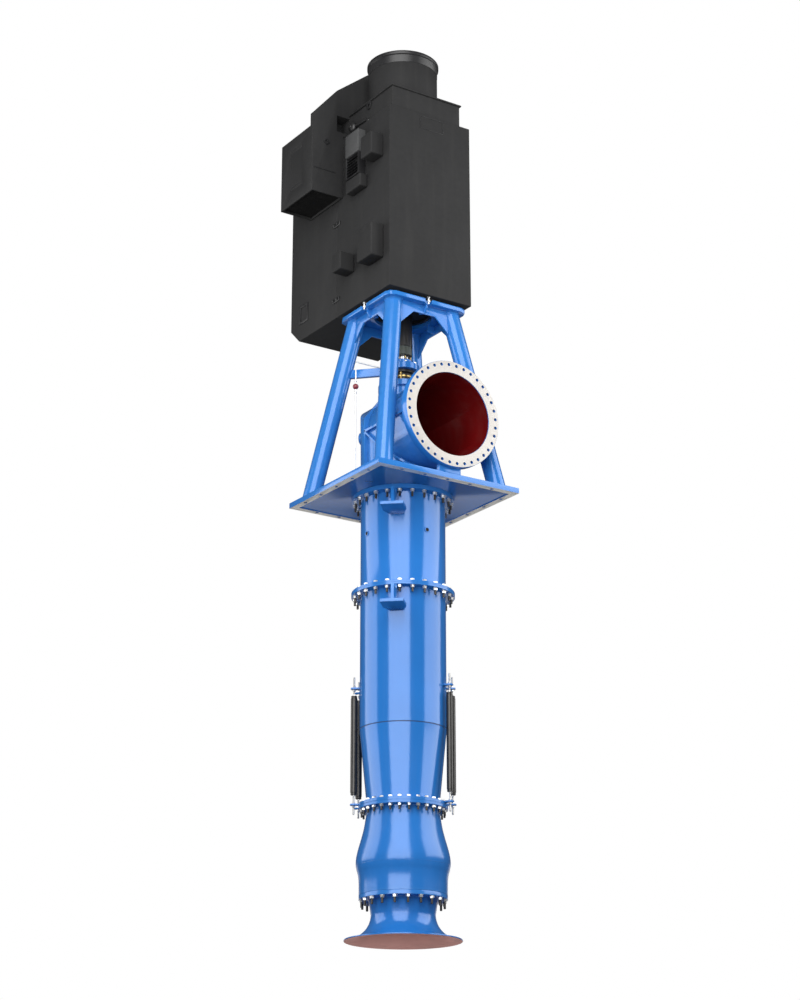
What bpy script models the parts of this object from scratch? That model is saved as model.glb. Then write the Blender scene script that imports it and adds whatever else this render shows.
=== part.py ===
"""Vertical circulating water pump: suction bell, bowl, column, discharge head and motor.

Units are metres, +Z is up. The origin is on the machined seat under the base plate, at
the middle of its discharge side. The pump hangs through a floor opening from that seat.
"""
import math

import bmesh
import bpy
from mathutils import Matrix, Vector

# Driving dimensions of the whole pump, as heights above the base plate's seat
GAP = 0.0003                    # clearance left between pieces that touch
STEPS = 48                      # sides of the large turned pieces
SMALL_STEPS = 16                # sides of legs, rods and small pipes

PLATE_HALF = 1.02               # base plate, half of its side
PLATE_TOP = 0.068
SEAT_WIDTH = 0.09               # machined strip round the plate's underside
SEAT_STEP = 0.012               # how far the strip stands proud of the middle
AXIS_Y = PLATE_HALF - SEAT_WIDTH / 2      # pump axis, seen from the origin on the seat

COLUMN_R = 0.518
COLUMN_WALL = 0.016
FLANGE_R = 0.628                # column flanges
FLANGE_T = 0.027                # one flange of a bolted pair
MID_JOINT_Z = -1.2195           # joint between the two column pieces
SEAM_Z = -2.88                  # where the lower column starts to taper
CONE_R = 0.432                  # column radius at its lower end
BOWL_JOINT_Z = -3.802
BOWL_FLANGE_R = 0.528
BOWL_FLANGE_T = 0.037
BELL_JOINT_Z = -4.835
BELL_THROAT_R = 0.378
BELL_THROAT_Z = -5.06
BELL_RIM_R = 0.689
BELL_RIM_Z = -5.36

ROD_AT = 0.584                  # tie rods beside the taper, from the pump axis
ROD_ANGLES = (145.8, 122.0, 306.7, 327.0)
ROD_SLEEVE_R = 0.040
ROD_SLEEVE_LOW = -3.656
ROD_SLEEVE_TOP = -2.458
ROD_R = 0.012
ROD_LOW = -3.886
ROD_TOP = -2.230
ROD_TOP_LUG_Z = -2.370          # middle of a rod's upper lug
ROD_LOW_LUG_Z = -3.769
ROD_LUG_T = 0.018
ROD_LUG_HALF = 0.0415           # half of a lug's width, and its reach past the rod

HEAD_WALL = 0.016
DISCHARGE_Z = 0.80              # centre of the discharge pipe
ELBOW_R = 0.530                 # the head's radius at its mitre
DISCHARGE_R = 0.545             # the pipe's radius at its flange
DISCHARGE_FACE_Y = -1.09        # face of the discharge flange, from the pump axis
DISCHARGE_FLANGE_R = 0.673
DISCHARGE_FLANGE_T = 0.105
RIB_REACH = 0.042               # how far the head's ribs stand out of it
BOSS_R = 0.078                  # round boss on the head's rear left
BOSS_REACH = 0.05
BOSS_Z = 0.875
BOSS_ANGLE = 128                # its direction from the axis, in degrees
PEDESTAL_R = 0.27               # the gland's pedestal on the head
GLAND_TOP_Z = 1.50

GLAND_R = 0.15                  # stuffing box
HOUSING_R = 0.116               # bearing housing over the stuffing box
HOUSING_TOP_Z = 1.85
HOUSING_FLANGE_R = 0.205
SHAFT_R = 0.07
COUPLING_R = 0.116
COUPLING_LOW_Z = 1.91
IMPELLER_Z = -4.70              # middle of the impeller

STAND_TOP_Z = 2.437             # underside of the stand's top plate
STAND_TOP_T = 0.053
STAND_TOP_HALF = 0.59
STAND_TOP_CORNER = 0.10
STAND_TOP_NOTCH = 0.052         # half width of the notch in each of the plate's sides
LEG_R = 0.111
LEG_FOOT = 0.829                # a leg's foot, from the axis along X and along Y
LEG_HEAD = 0.425                # a leg's upper end, likewise
WEB_AT = 0.48                   # the arched webs under the plate, from the axis
ARCH = ((0.16, 2.325), (0.46, 2.037))        # half of an arch's lower edge: reach and height
LEG_SIDES = {"front_left": (-1, -1), "front_right": (1, -1), "rear_left": (-1, 1), "rear_right": (1, 1)}

MOTOR_Z = 2.524                 # underside of the motor
MOTOR_HALF_X = 0.615
MOTOR_FRONT_Y = -0.629
MOTOR_JOINT_Y = 0.61            # joint between the motor's frame and its cooler
MOTOR_BACK_Y = 1.743
MOTOR_SHOULDER_Z = 5.025
ROOF_Z = 5.378
HOOD_FRONT_Y = 0.476
HOOD_BACK_Y = 1.26
HOOD_OUTER_X = -1.083
HOOD_MOUTH_Z = 4.155
HOOD_DEPTH = 0.45               # how far the hood is open above its mouth
HOOD_TOP_Z = 6.08
THRUST_R = 0.449
THRUST_TOP_Z = 6.032
THRUST_FLANGE_R = 0.469

BLUE = (0.03, 0.19, 0.62)
DARK = (0.02, 0.02, 0.022)
STEEL = (0.55, 0.54, 0.52)


def clear_scene():
    """Remove every object so that the script starts from nothing."""
    for item in list(bpy.data.objects):
        bpy.data.objects.remove(item, do_unlink=True)


def paint(name, colour, roughness, metallic=0.0):
    """Make a material with one plain Principled shader."""
    material = bpy.data.materials.new(name)
    material.use_nodes = True
    shader = material.node_tree.nodes["Principled BSDF"]
    shader.inputs["Base Color"].default_value = (*colour, 1.0)
    shader.inputs["Roughness"].default_value = roughness
    shader.inputs["Metallic"].default_value = metallic
    return material


class Shop:
    """Keeps the collections and the empty that stands on the pump's axis."""

    def __init__(self):
        self.parts = bpy.data.collections.new("vertical_circulating_water_pump")
        self.cutters = bpy.data.collections.new("cutters")
        for group in (self.parts, self.cutters):
            bpy.context.scene.collection.children.link(group)
        self.axis = bpy.data.objects.new("pump_axis", None)
        self.axis.location = (0.0, AXIS_Y, 0.0)
        self.parts.objects.link(self.axis)

    def add(self, name, mesh, finish):
        """Place a mesh, drawn round the pump's axis, as one named piece."""
        piece = bpy.data.objects.new(name, mesh)
        mesh.materials.clear()
        mesh.materials.append(paint(name + "_finish", *finish))
        self.parts.objects.link(piece)
        piece.parent = self.axis
        return piece

    def tool(self, name, mesh):
        """Place a mesh as a hidden tool for a Boolean."""
        item = bpy.data.objects.new(name, mesh)
        item.hide_render = True
        item.display_type = "WIRE"
        self.cutters.objects.link(item)
        item.parent = self.axis
        return item


def boolean(piece, tool, operation="DIFFERENCE"):
    """Cut or join a piece with a tool object."""
    step = piece.modifiers.new(tool.name, "BOOLEAN")
    step.object = tool
    step.operation = operation
    step.solver = "EXACT"


def mesh_from(name, build):
    """Make a mesh from a function that fills a bmesh."""
    work = bmesh.new()
    build(work)
    bmesh.ops.recalc_face_normals(work, faces=work.faces)
    mesh = bpy.data.meshes.new(name)
    work.to_mesh(mesh)
    work.free()
    return mesh


def box_mesh(name, low, high):
    """A box between two corners."""
    low, high = Vector(low), Vector(high)

    def build(work):
        size = Matrix.Diagonal((*(high - low), 1.0))
        bmesh.ops.create_cube(work, size=1.0, matrix=Matrix.Translation((low + high) / 2) @ size)

    return mesh_from(name, build)


def rod_mesh(name, start, end, radius, steps=SMALL_STEPS, end_radius=None):
    """A solid round bar, or a cone, between two points."""
    start, end = Vector(start), Vector(end)
    way = end - start
    turn = way.to_track_quat("Z", "Y").to_matrix().to_4x4()
    place = Matrix.Translation((start + end) / 2) @ turn

    def build(work):
        bmesh.ops.create_cone(work, cap_ends=True, segments=steps, radius1=radius,
                              radius2=radius if end_radius is None else end_radius,
                              depth=way.length, matrix=place)

    return mesh_from(name, build)


def ring_mesh(name, profile, steps=STEPS):
    """A turned solid: a closed outline of (radius, height) points swept round the axis.

    The outline starts at the outer side's top and runs down it.
    """
    count = len(profile)

    def build(work):
        rings = []
        for step in range(steps):
            angle = 2 * math.pi * step / steps
            across, along = math.cos(angle), math.sin(angle)
            rings.append([work.verts.new((r * across, r * along, z)) for r, z in profile])
        for step in range(steps):
            here, there = rings[step], rings[(step + 1) % steps]
            for k in range(count):
                n = (k + 1) % count
                work.faces.new((here[k], here[n], there[n], there[k]))

    return mesh_from(name, build)


def disc_mesh(name, profile, steps=STEPS):
    """A turned solid without a bore: the outline starts and ends on the axis."""

    def build(work):
        points = [work.verts.new((r, 0.0, z)) for r, z in profile]
        lines = [work.edges.new(pair) for pair in zip(points, points[1:])]
        bmesh.ops.spin(work, geom=points + lines, cent=(0, 0, 0), axis=(0, 0, 1),
                       angle=2 * math.pi, steps=steps, use_merge=True)
        bmesh.ops.remove_doubles(work, verts=work.verts, dist=0.00005)

    return mesh_from(name, build)


def slab_mesh(name, outline, low, high, along="Z"):
    """A flat outline with a thickness, along Z, X or Y."""
    places = {
        "Z": lambda u, v, w: (u, v, w),
        "X": lambda u, v, w: (w, u, v),
        "Y": lambda u, v, w: (u, w, v),
    }
    put = places[along]

    def build(work):
        bottom = [work.verts.new(put(u, v, low)) for u, v in outline]
        top = [work.verts.new(put(u, v, high)) for u, v in outline]
        work.faces.new(bottom)
        work.faces.new(top)
        for k in range(len(outline)):
            n = (k + 1) % len(outline)
            work.faces.new((bottom[k], bottom[n], top[n], top[k]))

    return mesh_from(name, build)


def turned(mesh, angle):
    """Turn a mesh round the pump's axis."""
    mesh.transform(Matrix.Rotation(angle, 4, "Z"))
    return mesh


def suction_bell(shop):
    """The flared inlet under the bowl."""
    flare_r, flare_z = BELL_RIM_R - BELL_THROAT_R, BELL_THROAT_Z - BELL_RIM_Z
    wall, rim = 0.018, 0.014
    flange_z = BELL_JOINT_Z - GAP
    flange_low = flange_z - 0.05
    outer = [(COLUMN_R, flange_z), (COLUMN_R, flange_low), (0.41, flange_low), (0.40, flange_low - 0.05)]
    inner = []
    turns = 9
    for k in range(turns):
        lean = 0.5 * math.pi * k / (turns - 1)
        depth, spread = math.sin(lean), 1 - math.cos(lean)
        outer.append((BELL_THROAT_R + flare_r * spread, BELL_THROAT_Z - flare_z * depth + rim * depth))
        inner.append((BELL_THROAT_R - wall + (flare_r + wall) * spread, BELL_THROAT_Z - flare_z * depth))
    inner.reverse()
    profile = outer + inner + [(0.375, flange_low - 0.03), (0.46, flange_z)]
    shop.add("suction_bell", ring_mesh("suction_bell", profile), (BLUE, 0.35))


def bowl_casing(shop):
    """The bulged pump bowl with its upper flange."""
    wall = 0.020
    side = [(0.440, -3.93), (0.463, -4.066), (0.493, -4.183), (0.527, -4.301), (0.549, -4.400),
            (0.553, -4.476), (0.544, -4.540), (0.528, -4.600), (0.519, -4.690), (COLUMN_R, BELL_JOINT_Z)]
    top = BOWL_JOINT_Z - GAP
    outer = [(BOWL_FLANGE_R, top), (BOWL_FLANGE_R, top - BOWL_FLANGE_T), (CONE_R, top - BOWL_FLANGE_T)] + side
    inner = [(r - wall, z) for r, z in reversed(side)] + [(CONE_R - wall, top)]
    shop.add("bowl_casing", ring_mesh("bowl_casing", outer + inner), (BLUE, 0.35))


def lower_column(shop):
    """The long column piece that tapers to the bowl."""
    top = MID_JOINT_Z - GAP
    flange_low = BOWL_JOINT_Z + BOWL_FLANGE_T
    inside, low_inside = COLUMN_R - COLUMN_WALL, CONE_R - 0.020
    profile = [(FLANGE_R, top), (FLANGE_R, top - FLANGE_T), (COLUMN_R, top - FLANGE_T),
               (COLUMN_R, SEAM_Z), (CONE_R, flange_low), (BOWL_FLANGE_R, flange_low),
               (BOWL_FLANGE_R, BOWL_JOINT_Z),
               (low_inside, BOWL_JOINT_Z), (low_inside, flange_low), (inside, SEAM_Z), (inside, top)]
    shop.add("lower_column", ring_mesh("lower_column", profile), (BLUE, 0.35))


def upper_column(shop):
    """The short column piece bolted under the base plate."""
    top, low = SEAT_STEP - GAP, MID_JOINT_Z
    under = SEAT_STEP - 0.055
    inside = COLUMN_R - COLUMN_WALL
    profile = [(FLANGE_R, top), (FLANGE_R, under), (COLUMN_R, under), (COLUMN_R, low + FLANGE_T),
               (FLANGE_R, low + FLANGE_T), (FLANGE_R, low), (inside, low), (inside, top)]
    shop.add("upper_column", ring_mesh("upper_column", profile), (BLUE, 0.35))


def base_plate(shop):
    """The square plate that carries the pump, with a machined seat round its underside."""
    half, inner = PLATE_HALF, PLATE_HALF - SEAT_WIDTH
    slab = box_mesh("base_plate", (-half, -half, 0), (half, half, PLATE_TOP))
    plate = shop.add("base_plate", slab, (BLUE, 0.4))
    recess = box_mesh("plate_recess", (-inner, -inner, -0.1), (inner, inner, SEAT_STEP))
    boolean(plate, shop.tool("plate_recess_cutter", recess))
    bore = rod_mesh("plate_bore", (0, 0, -0.2), (0, 0, 0.3), COLUMN_R - COLUMN_WALL, STEPS)
    boolean(plate, shop.tool("plate_bore_cutter", bore))


def column_lug(shop, name, angle, top):
    """A lug under a column flange: an upright web on a level plate with cut corners."""
    reach, half, narrow = 0.41, 0.14, 0.075
    root = COLUMN_R + GAP
    low = top - 0.30
    web_reach, web_half, drop = 0.35, 0.018, 0.06
    shape = [(root, -narrow), (root + 0.16, -half), (root + reach, -half), (root + reach, half),
             (root + 0.16, half), (root, narrow)]
    foot = turned(slab_mesh(name, shape, low, low + 0.036), angle)
    inner_edge = root - 0.004
    piece = shop.add(name, foot, (BLUE, 0.4))
    side = [(inner_edge, low + 0.02), (root + web_reach, low + 0.02), (root + web_reach, top - drop - GAP),
            (FLANGE_R + GAP, top - drop - GAP), (FLANGE_R - 0.01, top - GAP), (inner_edge, top - GAP)]
    web = turned(slab_mesh(name + "_web", side, -web_half, web_half, "Y"), angle)
    boolean(piece, shop.tool(name + "_web_joiner", web), "UNION")
    trim = rod_mesh(name + "_trim", (0, 0, low - 0.1), (0, 0, top + 0.1), root, STEPS)
    boolean(piece, shop.tool(name + "_trim_cutter", trim))


def tie_rod(shop, name, angle):
    """A sleeved rod beside the column's taper, held by a lug above and one at the flange."""
    sleeve = rod_mesh(name, (ROD_AT, 0, ROD_SLEEVE_LOW), (ROD_AT, 0, ROD_SLEEVE_TOP), ROD_SLEEVE_R)
    piece = shop.add(name, turned(sleeve, angle), (DARK, 0.5))
    core = turned(rod_mesh(name + "_core", (ROD_AT, 0, ROD_LOW), (ROD_AT, 0, ROD_TOP), ROD_R, 12), angle)
    boolean(piece, shop.tool(name + "_core_joiner", core), "UNION")
    for k, (height, root) in enumerate(((ROD_TOP_LUG_Z, COLUMN_R), (ROD_LOW_LUG_Z, BOWL_FLANGE_R))):
        low = (root - 0.02, -ROD_LUG_HALF, height - ROD_LUG_T / 2)
        high = (ROD_AT + ROD_LUG_HALF, ROD_LUG_HALF, height + ROD_LUG_T / 2)
        lug = turned(box_mesh(name + "_lug", low, high), angle)
        boolean(piece, shop.tool("%s_lug_%d_joiner" % (name, k + 1), lug), "UNION")
        trim = rod_mesh(name + "_trim", (0, 0, height - 0.1), (0, 0, height + 0.1), root + GAP, STEPS)
        boolean(piece, shop.tool("%s_trim_%d_cutter" % (name, k + 1), trim))


def elbow_mesh(name, grow, low, end_y):
    """A mitred elbow: upright from a height to the mitre, then level out along -Y.

    The mitre is the plane where z stands as far over the pipe's centre as y over the axis.
    """
    foot, mitre, mouth = COLUMN_R + grow, ELBOW_R + grow, DISCHARGE_R + grow
    rows = (
        lambda across, along: (foot * across, foot * along, low),
        lambda across, along: (mitre * across, mitre * along, DISCHARGE_Z + mitre * along),
        lambda across, along: (mouth * across, end_y, DISCHARGE_Z + mouth * along),
    )

    def build(work):
        angles = [2 * math.pi * step / STEPS for step in range(STEPS)]
        rings = [[work.verts.new(row(math.cos(a), math.sin(a))) for a in angles] for row in rows]
        for lower, upper in zip(rings, rings[1:]):
            for k in range(STEPS):
                n = (k + 1) % STEPS
                work.faces.new((lower[k], lower[n], upper[n], upper[k]))
        work.faces.new(rings[0])
        work.faces.new(rings[-1])

    return mesh_from(name, build)


def discharge_head(shop):
    """The mitred elbow on the base plate, with its ribs and the gland's pedestal."""
    low, end = PLATE_TOP + GAP, DISCHARGE_FACE_Y + 0.012
    rib, thick, back = ELBOW_R + RIB_REACH, 0.014, DISCHARGE_FACE_Y + DISCHARGE_FLANGE_T + GAP
    head = shop.add("discharge_head", elbow_mesh("discharge_head", 0.0, low, end), (BLUE, 0.35))
    turns = [math.pi + math.pi * step / (STEPS // 2) for step in range(STEPS // 2 + 1)]
    throat = [(rib * math.cos(a), rib * math.sin(a)) for a in turns]
    collar = slab_mesh("mitre_rib", throat, DISCHARGE_Z - thick, DISCHARGE_Z + thick)
    collar.transform(Matrix(((1, 0, 0, 0), (0, 1, 0, 0), (0, 1, 1, 0), (0, 0, 0, 1))))
    outline = [(-rib, low), (rib, low), (rib, DISCHARGE_Z + 0.17), (PEDESTAL_R, 1.36), (-PEDESTAL_R, 1.36),
               (-rib, DISCHARGE_Z + 0.17)]
    boss = rod_mesh("boss", (COLUMN_R - 0.06, 0, BOSS_Z), (COLUMN_R + BOSS_REACH, 0, BOSS_Z), BOSS_R, 24)
    joined = {
        "mitre_rib": collar,
        "cross_rib": slab_mesh("cross_rib", outline, -thick, thick, "Y"),
        "level_rib": box_mesh("level_rib", (-rib, back, DISCHARGE_Z - thick), (rib, 0, DISCHARGE_Z + thick)),
        "pedestal": rod_mesh("pedestal", (0, 0, 1.0), (0, 0, GLAND_TOP_Z - 0.04), PEDESTAL_R, 32),
        "pedestal_top": rod_mesh("pedestal_top", (0, 0, GLAND_TOP_Z - 0.07), (0, 0, GLAND_TOP_Z), 0.31, 32),
        "boss": turned(boss, math.radians(BOSS_ANGLE)),
    }
    for name, mesh in joined.items():
        boolean(head, shop.tool(name + "_joiner", mesh), "UNION")
    hollow = elbow_mesh("head_hollow", -HEAD_WALL, low - 0.2, DISCHARGE_FACE_Y - 0.1)
    boolean(head, shop.tool("head_hollow_cutter", hollow))
    hole = rod_mesh("head_shaft_hole", (0, 0, 1.0), (0, 0, 1.7), SHAFT_R + 0.012, 24)
    boolean(head, shop.tool("head_shaft_hole_cutter", hole))


def discharge_flange(shop):
    """The flange on the discharge pipe. Its bolt holes are left to the finish model."""
    face, back = DISCHARGE_FACE_Y, DISCHARGE_FACE_Y + DISCHARGE_FLANGE_T
    profile = [(DISCHARGE_FLANGE_R, -face), (DISCHARGE_FLANGE_R, -back), (DISCHARGE_R + GAP, -back),
               (DISCHARGE_R + GAP, -face)]
    mesh = ring_mesh("discharge_flange", profile)
    mesh.transform(Matrix.Translation((0, 0, DISCHARGE_Z)) @ Matrix.Rotation(math.radians(90), 4, "X"))
    shop.add("discharge_flange", mesh, (STEEL, 0.5))


def discharge_support(shop):
    """The block that carries the discharge flange on the base plate."""
    half, depth = 0.155, 0.06
    low, high = (-half, -PLATE_HALF, PLATE_TOP + GAP), (half, -PLATE_HALF + depth, 0.16)
    block = shop.add("discharge_support", box_mesh("discharge_support", low, high), (BLUE, 0.4))
    trim = rod_mesh("support_trim", (0, -1.4, DISCHARGE_Z), (0, -0.7, DISCHARGE_Z),
                    DISCHARGE_FLANGE_R + GAP, STEPS)
    boolean(block, shop.tool("support_trim_cutter", trim))


def shaft_line(shop):
    """The turning line: coupling, line shaft and impeller, all on the pump's axis."""
    collar_z, collar_r = 2.03, COUPLING_R - 0.008
    coupling = [(0.0, 2.46), (COUPLING_R, 2.46), (COUPLING_R, collar_z), (collar_r, collar_z),
                (collar_r, COUPLING_LOW_Z), (0.0, COUPLING_LOW_Z)]
    shop.add("shaft_coupling", disc_mesh("shaft_coupling", coupling, 32), (DARK, 0.4, 0.6))
    shaft = rod_mesh("line_shaft", (0, 0, IMPELLER_Z + 0.16), (0, 0, COUPLING_LOW_Z - GAP), SHAFT_R, 24)
    shop.add("line_shaft", shaft, (STEEL, 0.3, 1.0))
    impeller = [(0.0, IMPELLER_Z + 0.16 - GAP), (0.22, IMPELLER_Z + 0.13), (0.20, IMPELLER_Z - 0.02),
                (0.14, IMPELLER_Z - 0.16), (0.06, IMPELLER_Z - 0.24), (0.0, IMPELLER_Z - 0.25)]
    hub = shop.add("impeller", disc_mesh("impeller", impeller, 32), (STEEL, 0.35, 1.0))
    for k in range(5):
        blade = impeller_blade(k * 2 * math.pi / 5)
        boolean(hub, shop.tool("impeller_blade_%d_joiner" % (k + 1), blade), "UNION")


def impeller_blade(angle):
    """One twisted blade of the impeller."""
    rows, half = 6, 0.011

    def build(work):
        grid = []
        for side in (-1, 1):
            sheet = []
            for i in range(rows):
                part = i / (rows - 1)
                z = IMPELLER_Z + 0.11 - 0.20 * part
                twist = 0.75 * part
                root, tip = 0.185 - 0.075 * part, 0.478 - 0.03 * part
                row = []
                for r in (root, (root + tip) / 2, tip):
                    lean = twist + side * half / r
                    row.append(work.verts.new((r * math.cos(lean), r * math.sin(lean), z + side * 0.006)))
                sheet.append(row)
            grid.append(sheet)
        for sheet in grid:
            for i in range(rows - 1):
                for j in range(2):
                    work.faces.new((sheet[i][j], sheet[i][j + 1], sheet[i + 1][j + 1], sheet[i + 1][j]))
        low, high = grid
        for i in range(rows - 1):
            for j in (0, 2):
                work.faces.new((low[i][j], low[i + 1][j], high[i + 1][j], high[i][j]))
        for i in (0, rows - 1):
            for j in range(2):
                work.faces.new((low[i][j], low[i][j + 1], high[i][j + 1], high[i][j]))

    return turned(mesh_from("impeller_blade", build), angle)


def bowl_diffuser(shop):
    """The fixed vanes above the impeller, on a hub that lets the shaft pass."""
    top, low, bore = -3.98, -4.42, SHAFT_R + 0.014
    hub = [(0.115, top), (0.20, top - 0.16), (0.232, low), (bore, low), (bore, top)]
    piece = shop.add("bowl_diffuser", ring_mesh("bowl_diffuser", hub, 32), (BLUE, 0.5))
    vanes, half = 6, 0.010
    shape = [(0.15, -4.08), (0.443, -4.08), (0.503, -4.301), (0.522, -4.38), (0.19, -4.38)]
    for k in range(vanes):
        vane = turned(slab_mesh("diffuser_vane", shape, -half, half, "Y"), math.radians(15 + 60 * k))
        boolean(piece, shop.tool("diffuser_vane_%d_joiner" % (k + 1), vane), "UNION")
    wall = 0.020 + GAP
    side = [(0.440, -3.93), (0.463, -4.066), (0.493, -4.183), (0.527, -4.301), (0.549, -4.400),
            (0.553, -4.476)]
    inner = [(r - wall, z) for r, z in side]
    shell = [(0.7, -3.93), (0.7, -4.476)] + inner[::-1]
    boolean(piece, shop.tool("diffuser_trim_cutter", ring_mesh("diffuser_trim", shell)))


def gland_and_bearing(shop):
    """The stuffing box on the head and the bearing housing above it."""
    bore = SHAFT_R + 0.012
    seat, top, neck, neck_r = GLAND_TOP_Z + GAP, 1.70, (1.545, 1.655), 0.11
    gland = [(GLAND_R, top), (GLAND_R, neck[1] + 0.012), (neck_r, neck[1]), (neck_r, neck[0]),
             (GLAND_R, neck[0] - 0.01), (GLAND_R, seat), (bore, seat), (bore, top)]
    shop.add("stuffing_box", ring_mesh("stuffing_box", gland, 32), (DARK, 0.4, 0.5))
    base, top, shoulder = top + GAP, HOUSING_TOP_Z, 1.78
    housing = [(HOUSING_R, top), (HOUSING_R, shoulder + 0.015), (HOUSING_FLANGE_R, shoulder),
               (HOUSING_FLANGE_R, base), (bore, base), (bore, top)]
    shop.add("bearing_housing", ring_mesh("bearing_housing", housing, 32), (BLUE, 0.4))


def stand(shop):
    """Four leaning tube legs and the top plate with its webs."""
    low, high = PLATE_TOP + GAP, STAND_TOP_Z - GAP
    for name, (foot, head) in zip(LEG_SIDES, leg_lines()):
        way = (head - foot) / (head.z - foot.z)
        long_leg = rod_mesh("stand_leg", foot - way * 0.2, head + way * 0.2, LEG_R)
        leg = shop.add("stand_leg_" + name, long_leg, (BLUE, 0.35))
        for end, (a, b) in {"foot": (low - 0.5, low), "head": (high, high + 0.5)}.items():
            trim = box_mesh("leg_trim", (-1.3, -1.3, a), (1.3, 1.3, b))
            boolean(leg, shop.tool("leg_%s_%s_cutter" % (name, end), trim))
    half, corner, notch = STAND_TOP_HALF, STAND_TOP_CORNER, STAND_TOP_NOTCH
    outline = []
    for quarter in range(4):
        turn = Matrix.Rotation(quarter * math.pi / 2, 2)
        run = [(-half + corner, -half), (-notch, -half), (-notch, -half + 0.05), (notch, -half + 0.05),
               (notch, -half), (half - corner, -half), (half - corner * 0.3, -half + corner * 0.3)]
        outline += [tuple(turn @ Vector(point)) for point in run]
    slab = slab_mesh("stand_top_plate", outline, STAND_TOP_Z, STAND_TOP_Z + STAND_TOP_T)
    top = shop.add("stand_top_plate", slab, (BLUE, 0.35))
    hole = rod_mesh("top_hole", (0, 0, 2.2), (0, 0, 2.8), 0.36, STEPS)
    boolean(top, shop.tool("top_hole_cutter", hole))
    stand_webs(shop, high)


def stand_webs(shop, high):
    """The webs under the stand's top plate: a shallow ring, four arches and four brackets."""
    drum_r, drum_t, drum_drop, thick = 0.385, 0.02, 0.07, 0.011
    drum = [(drum_r, high), (drum_r, high - drum_drop), (drum_r - drum_t, high - drum_drop),
            (drum_r - drum_t, high)]
    webs = shop.add("stand_webs", ring_mesh("stand_webs", drum), (BLUE, 0.4))
    (flat, flat_z), (half, low_z) = ARCH
    arch = [(half, low_z), (flat, flat_z), (-flat, flat_z), (-half, low_z)]
    bracket = [(drum_r - drum_t / 2, high), (0.54, high), (0.54, high - 0.04), (0.41, high - 0.24),
               (drum_r - drum_t / 2, high - 0.20)]
    for k in range(4):
        outline = [(-half, high), (half, high)] + arch
        side = slab_mesh("arch_web", outline, WEB_AT - thick, WEB_AT + thick, "Y")
        arm = slab_mesh("mid_bracket", bracket, -thick, thick, "Y")
        for name, mesh in {"arch_web": side, "mid_bracket": arm}.items():
            joiner = shop.tool("%s_%d_joiner" % (name, k + 1), turned(mesh, k * math.pi / 2))
            boolean(webs, joiner, "UNION")
    for k, (foot, head) in enumerate(leg_lines()):
        trim = rod_mesh("web_trim", foot, head + (head - foot) * 0.1, LEG_R + GAP)
        boolean(webs, shop.tool("web_trim_%d_cutter" % (k + 1), trim))


def leg_lines():
    """The four legs' centre lines, from foot to head."""
    for sx, sy in LEG_SIDES.values():
        yield (Vector((sx * LEG_FOOT, sy * LEG_FOOT, PLATE_TOP)),
               Vector((sx * LEG_HEAD, sy * LEG_HEAD, STAND_TOP_Z)))


def bearing_arm(shop):
    """The level arm that steadies the bearing housing from the rear left leg."""
    thick, reach, low, high = 0.025, 0.86, 1.675, 1.783
    arm = turned(box_mesh("bearing_arm", (0.05, -thick, low), (reach, thick, high)), math.radians(135))
    piece = shop.add("bearing_arm", arm, (BLUE, 0.4))
    foot, head = list(leg_lines())[2]
    beyond = rod_mesh("arm_leg", foot, head, LEG_R + GAP)
    boolean(piece, shop.tool("arm_leg_cutter", beyond))
    housing = rod_mesh("arm_housing", (0, 0, low - 0.1), (0, 0, high + 0.1), HOUSING_FLANGE_R + GAP, 32)
    boolean(piece, shop.tool("arm_housing_cutter", housing))


def seal_pipe(shop):
    """The thin water pipe from the stuffing box, level and then down to the plate."""
    pipe_r, thin_r, x, level, ball_z, ball_r = 0.010, 0.007, -0.70, 1.69, 1.36, 0.036
    run = rod_mesh("seal_pipe", (x, 0, PLATE_TOP + GAP), (x, 0, level + 0.02), pipe_r, 10)
    pipe = shop.add("seal_pipe", run, (STEEL, 0.4))
    across = rod_mesh("seal_across", (x, 0, level), (-GLAND_R - GAP, 0, level), thin_r, 12)
    boolean(pipe, shop.tool("seal_across_joiner", across), "UNION")
    leans = [math.pi * k / 8 for k in range(9)]
    profile = [(ball_r * math.sin(lean), ball_z + ball_r * math.cos(lean)) for lean in leans]
    profile = [(0.0 if k in (0, 8) else r, z) for k, (r, z) in enumerate(profile)]
    ball = disc_mesh("seal_valve", profile, 16)
    ball.transform(Matrix.Translation((x, 0, 0)))
    boolean(pipe, shop.tool("seal_valve_joiner", ball), "UNION")


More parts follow.
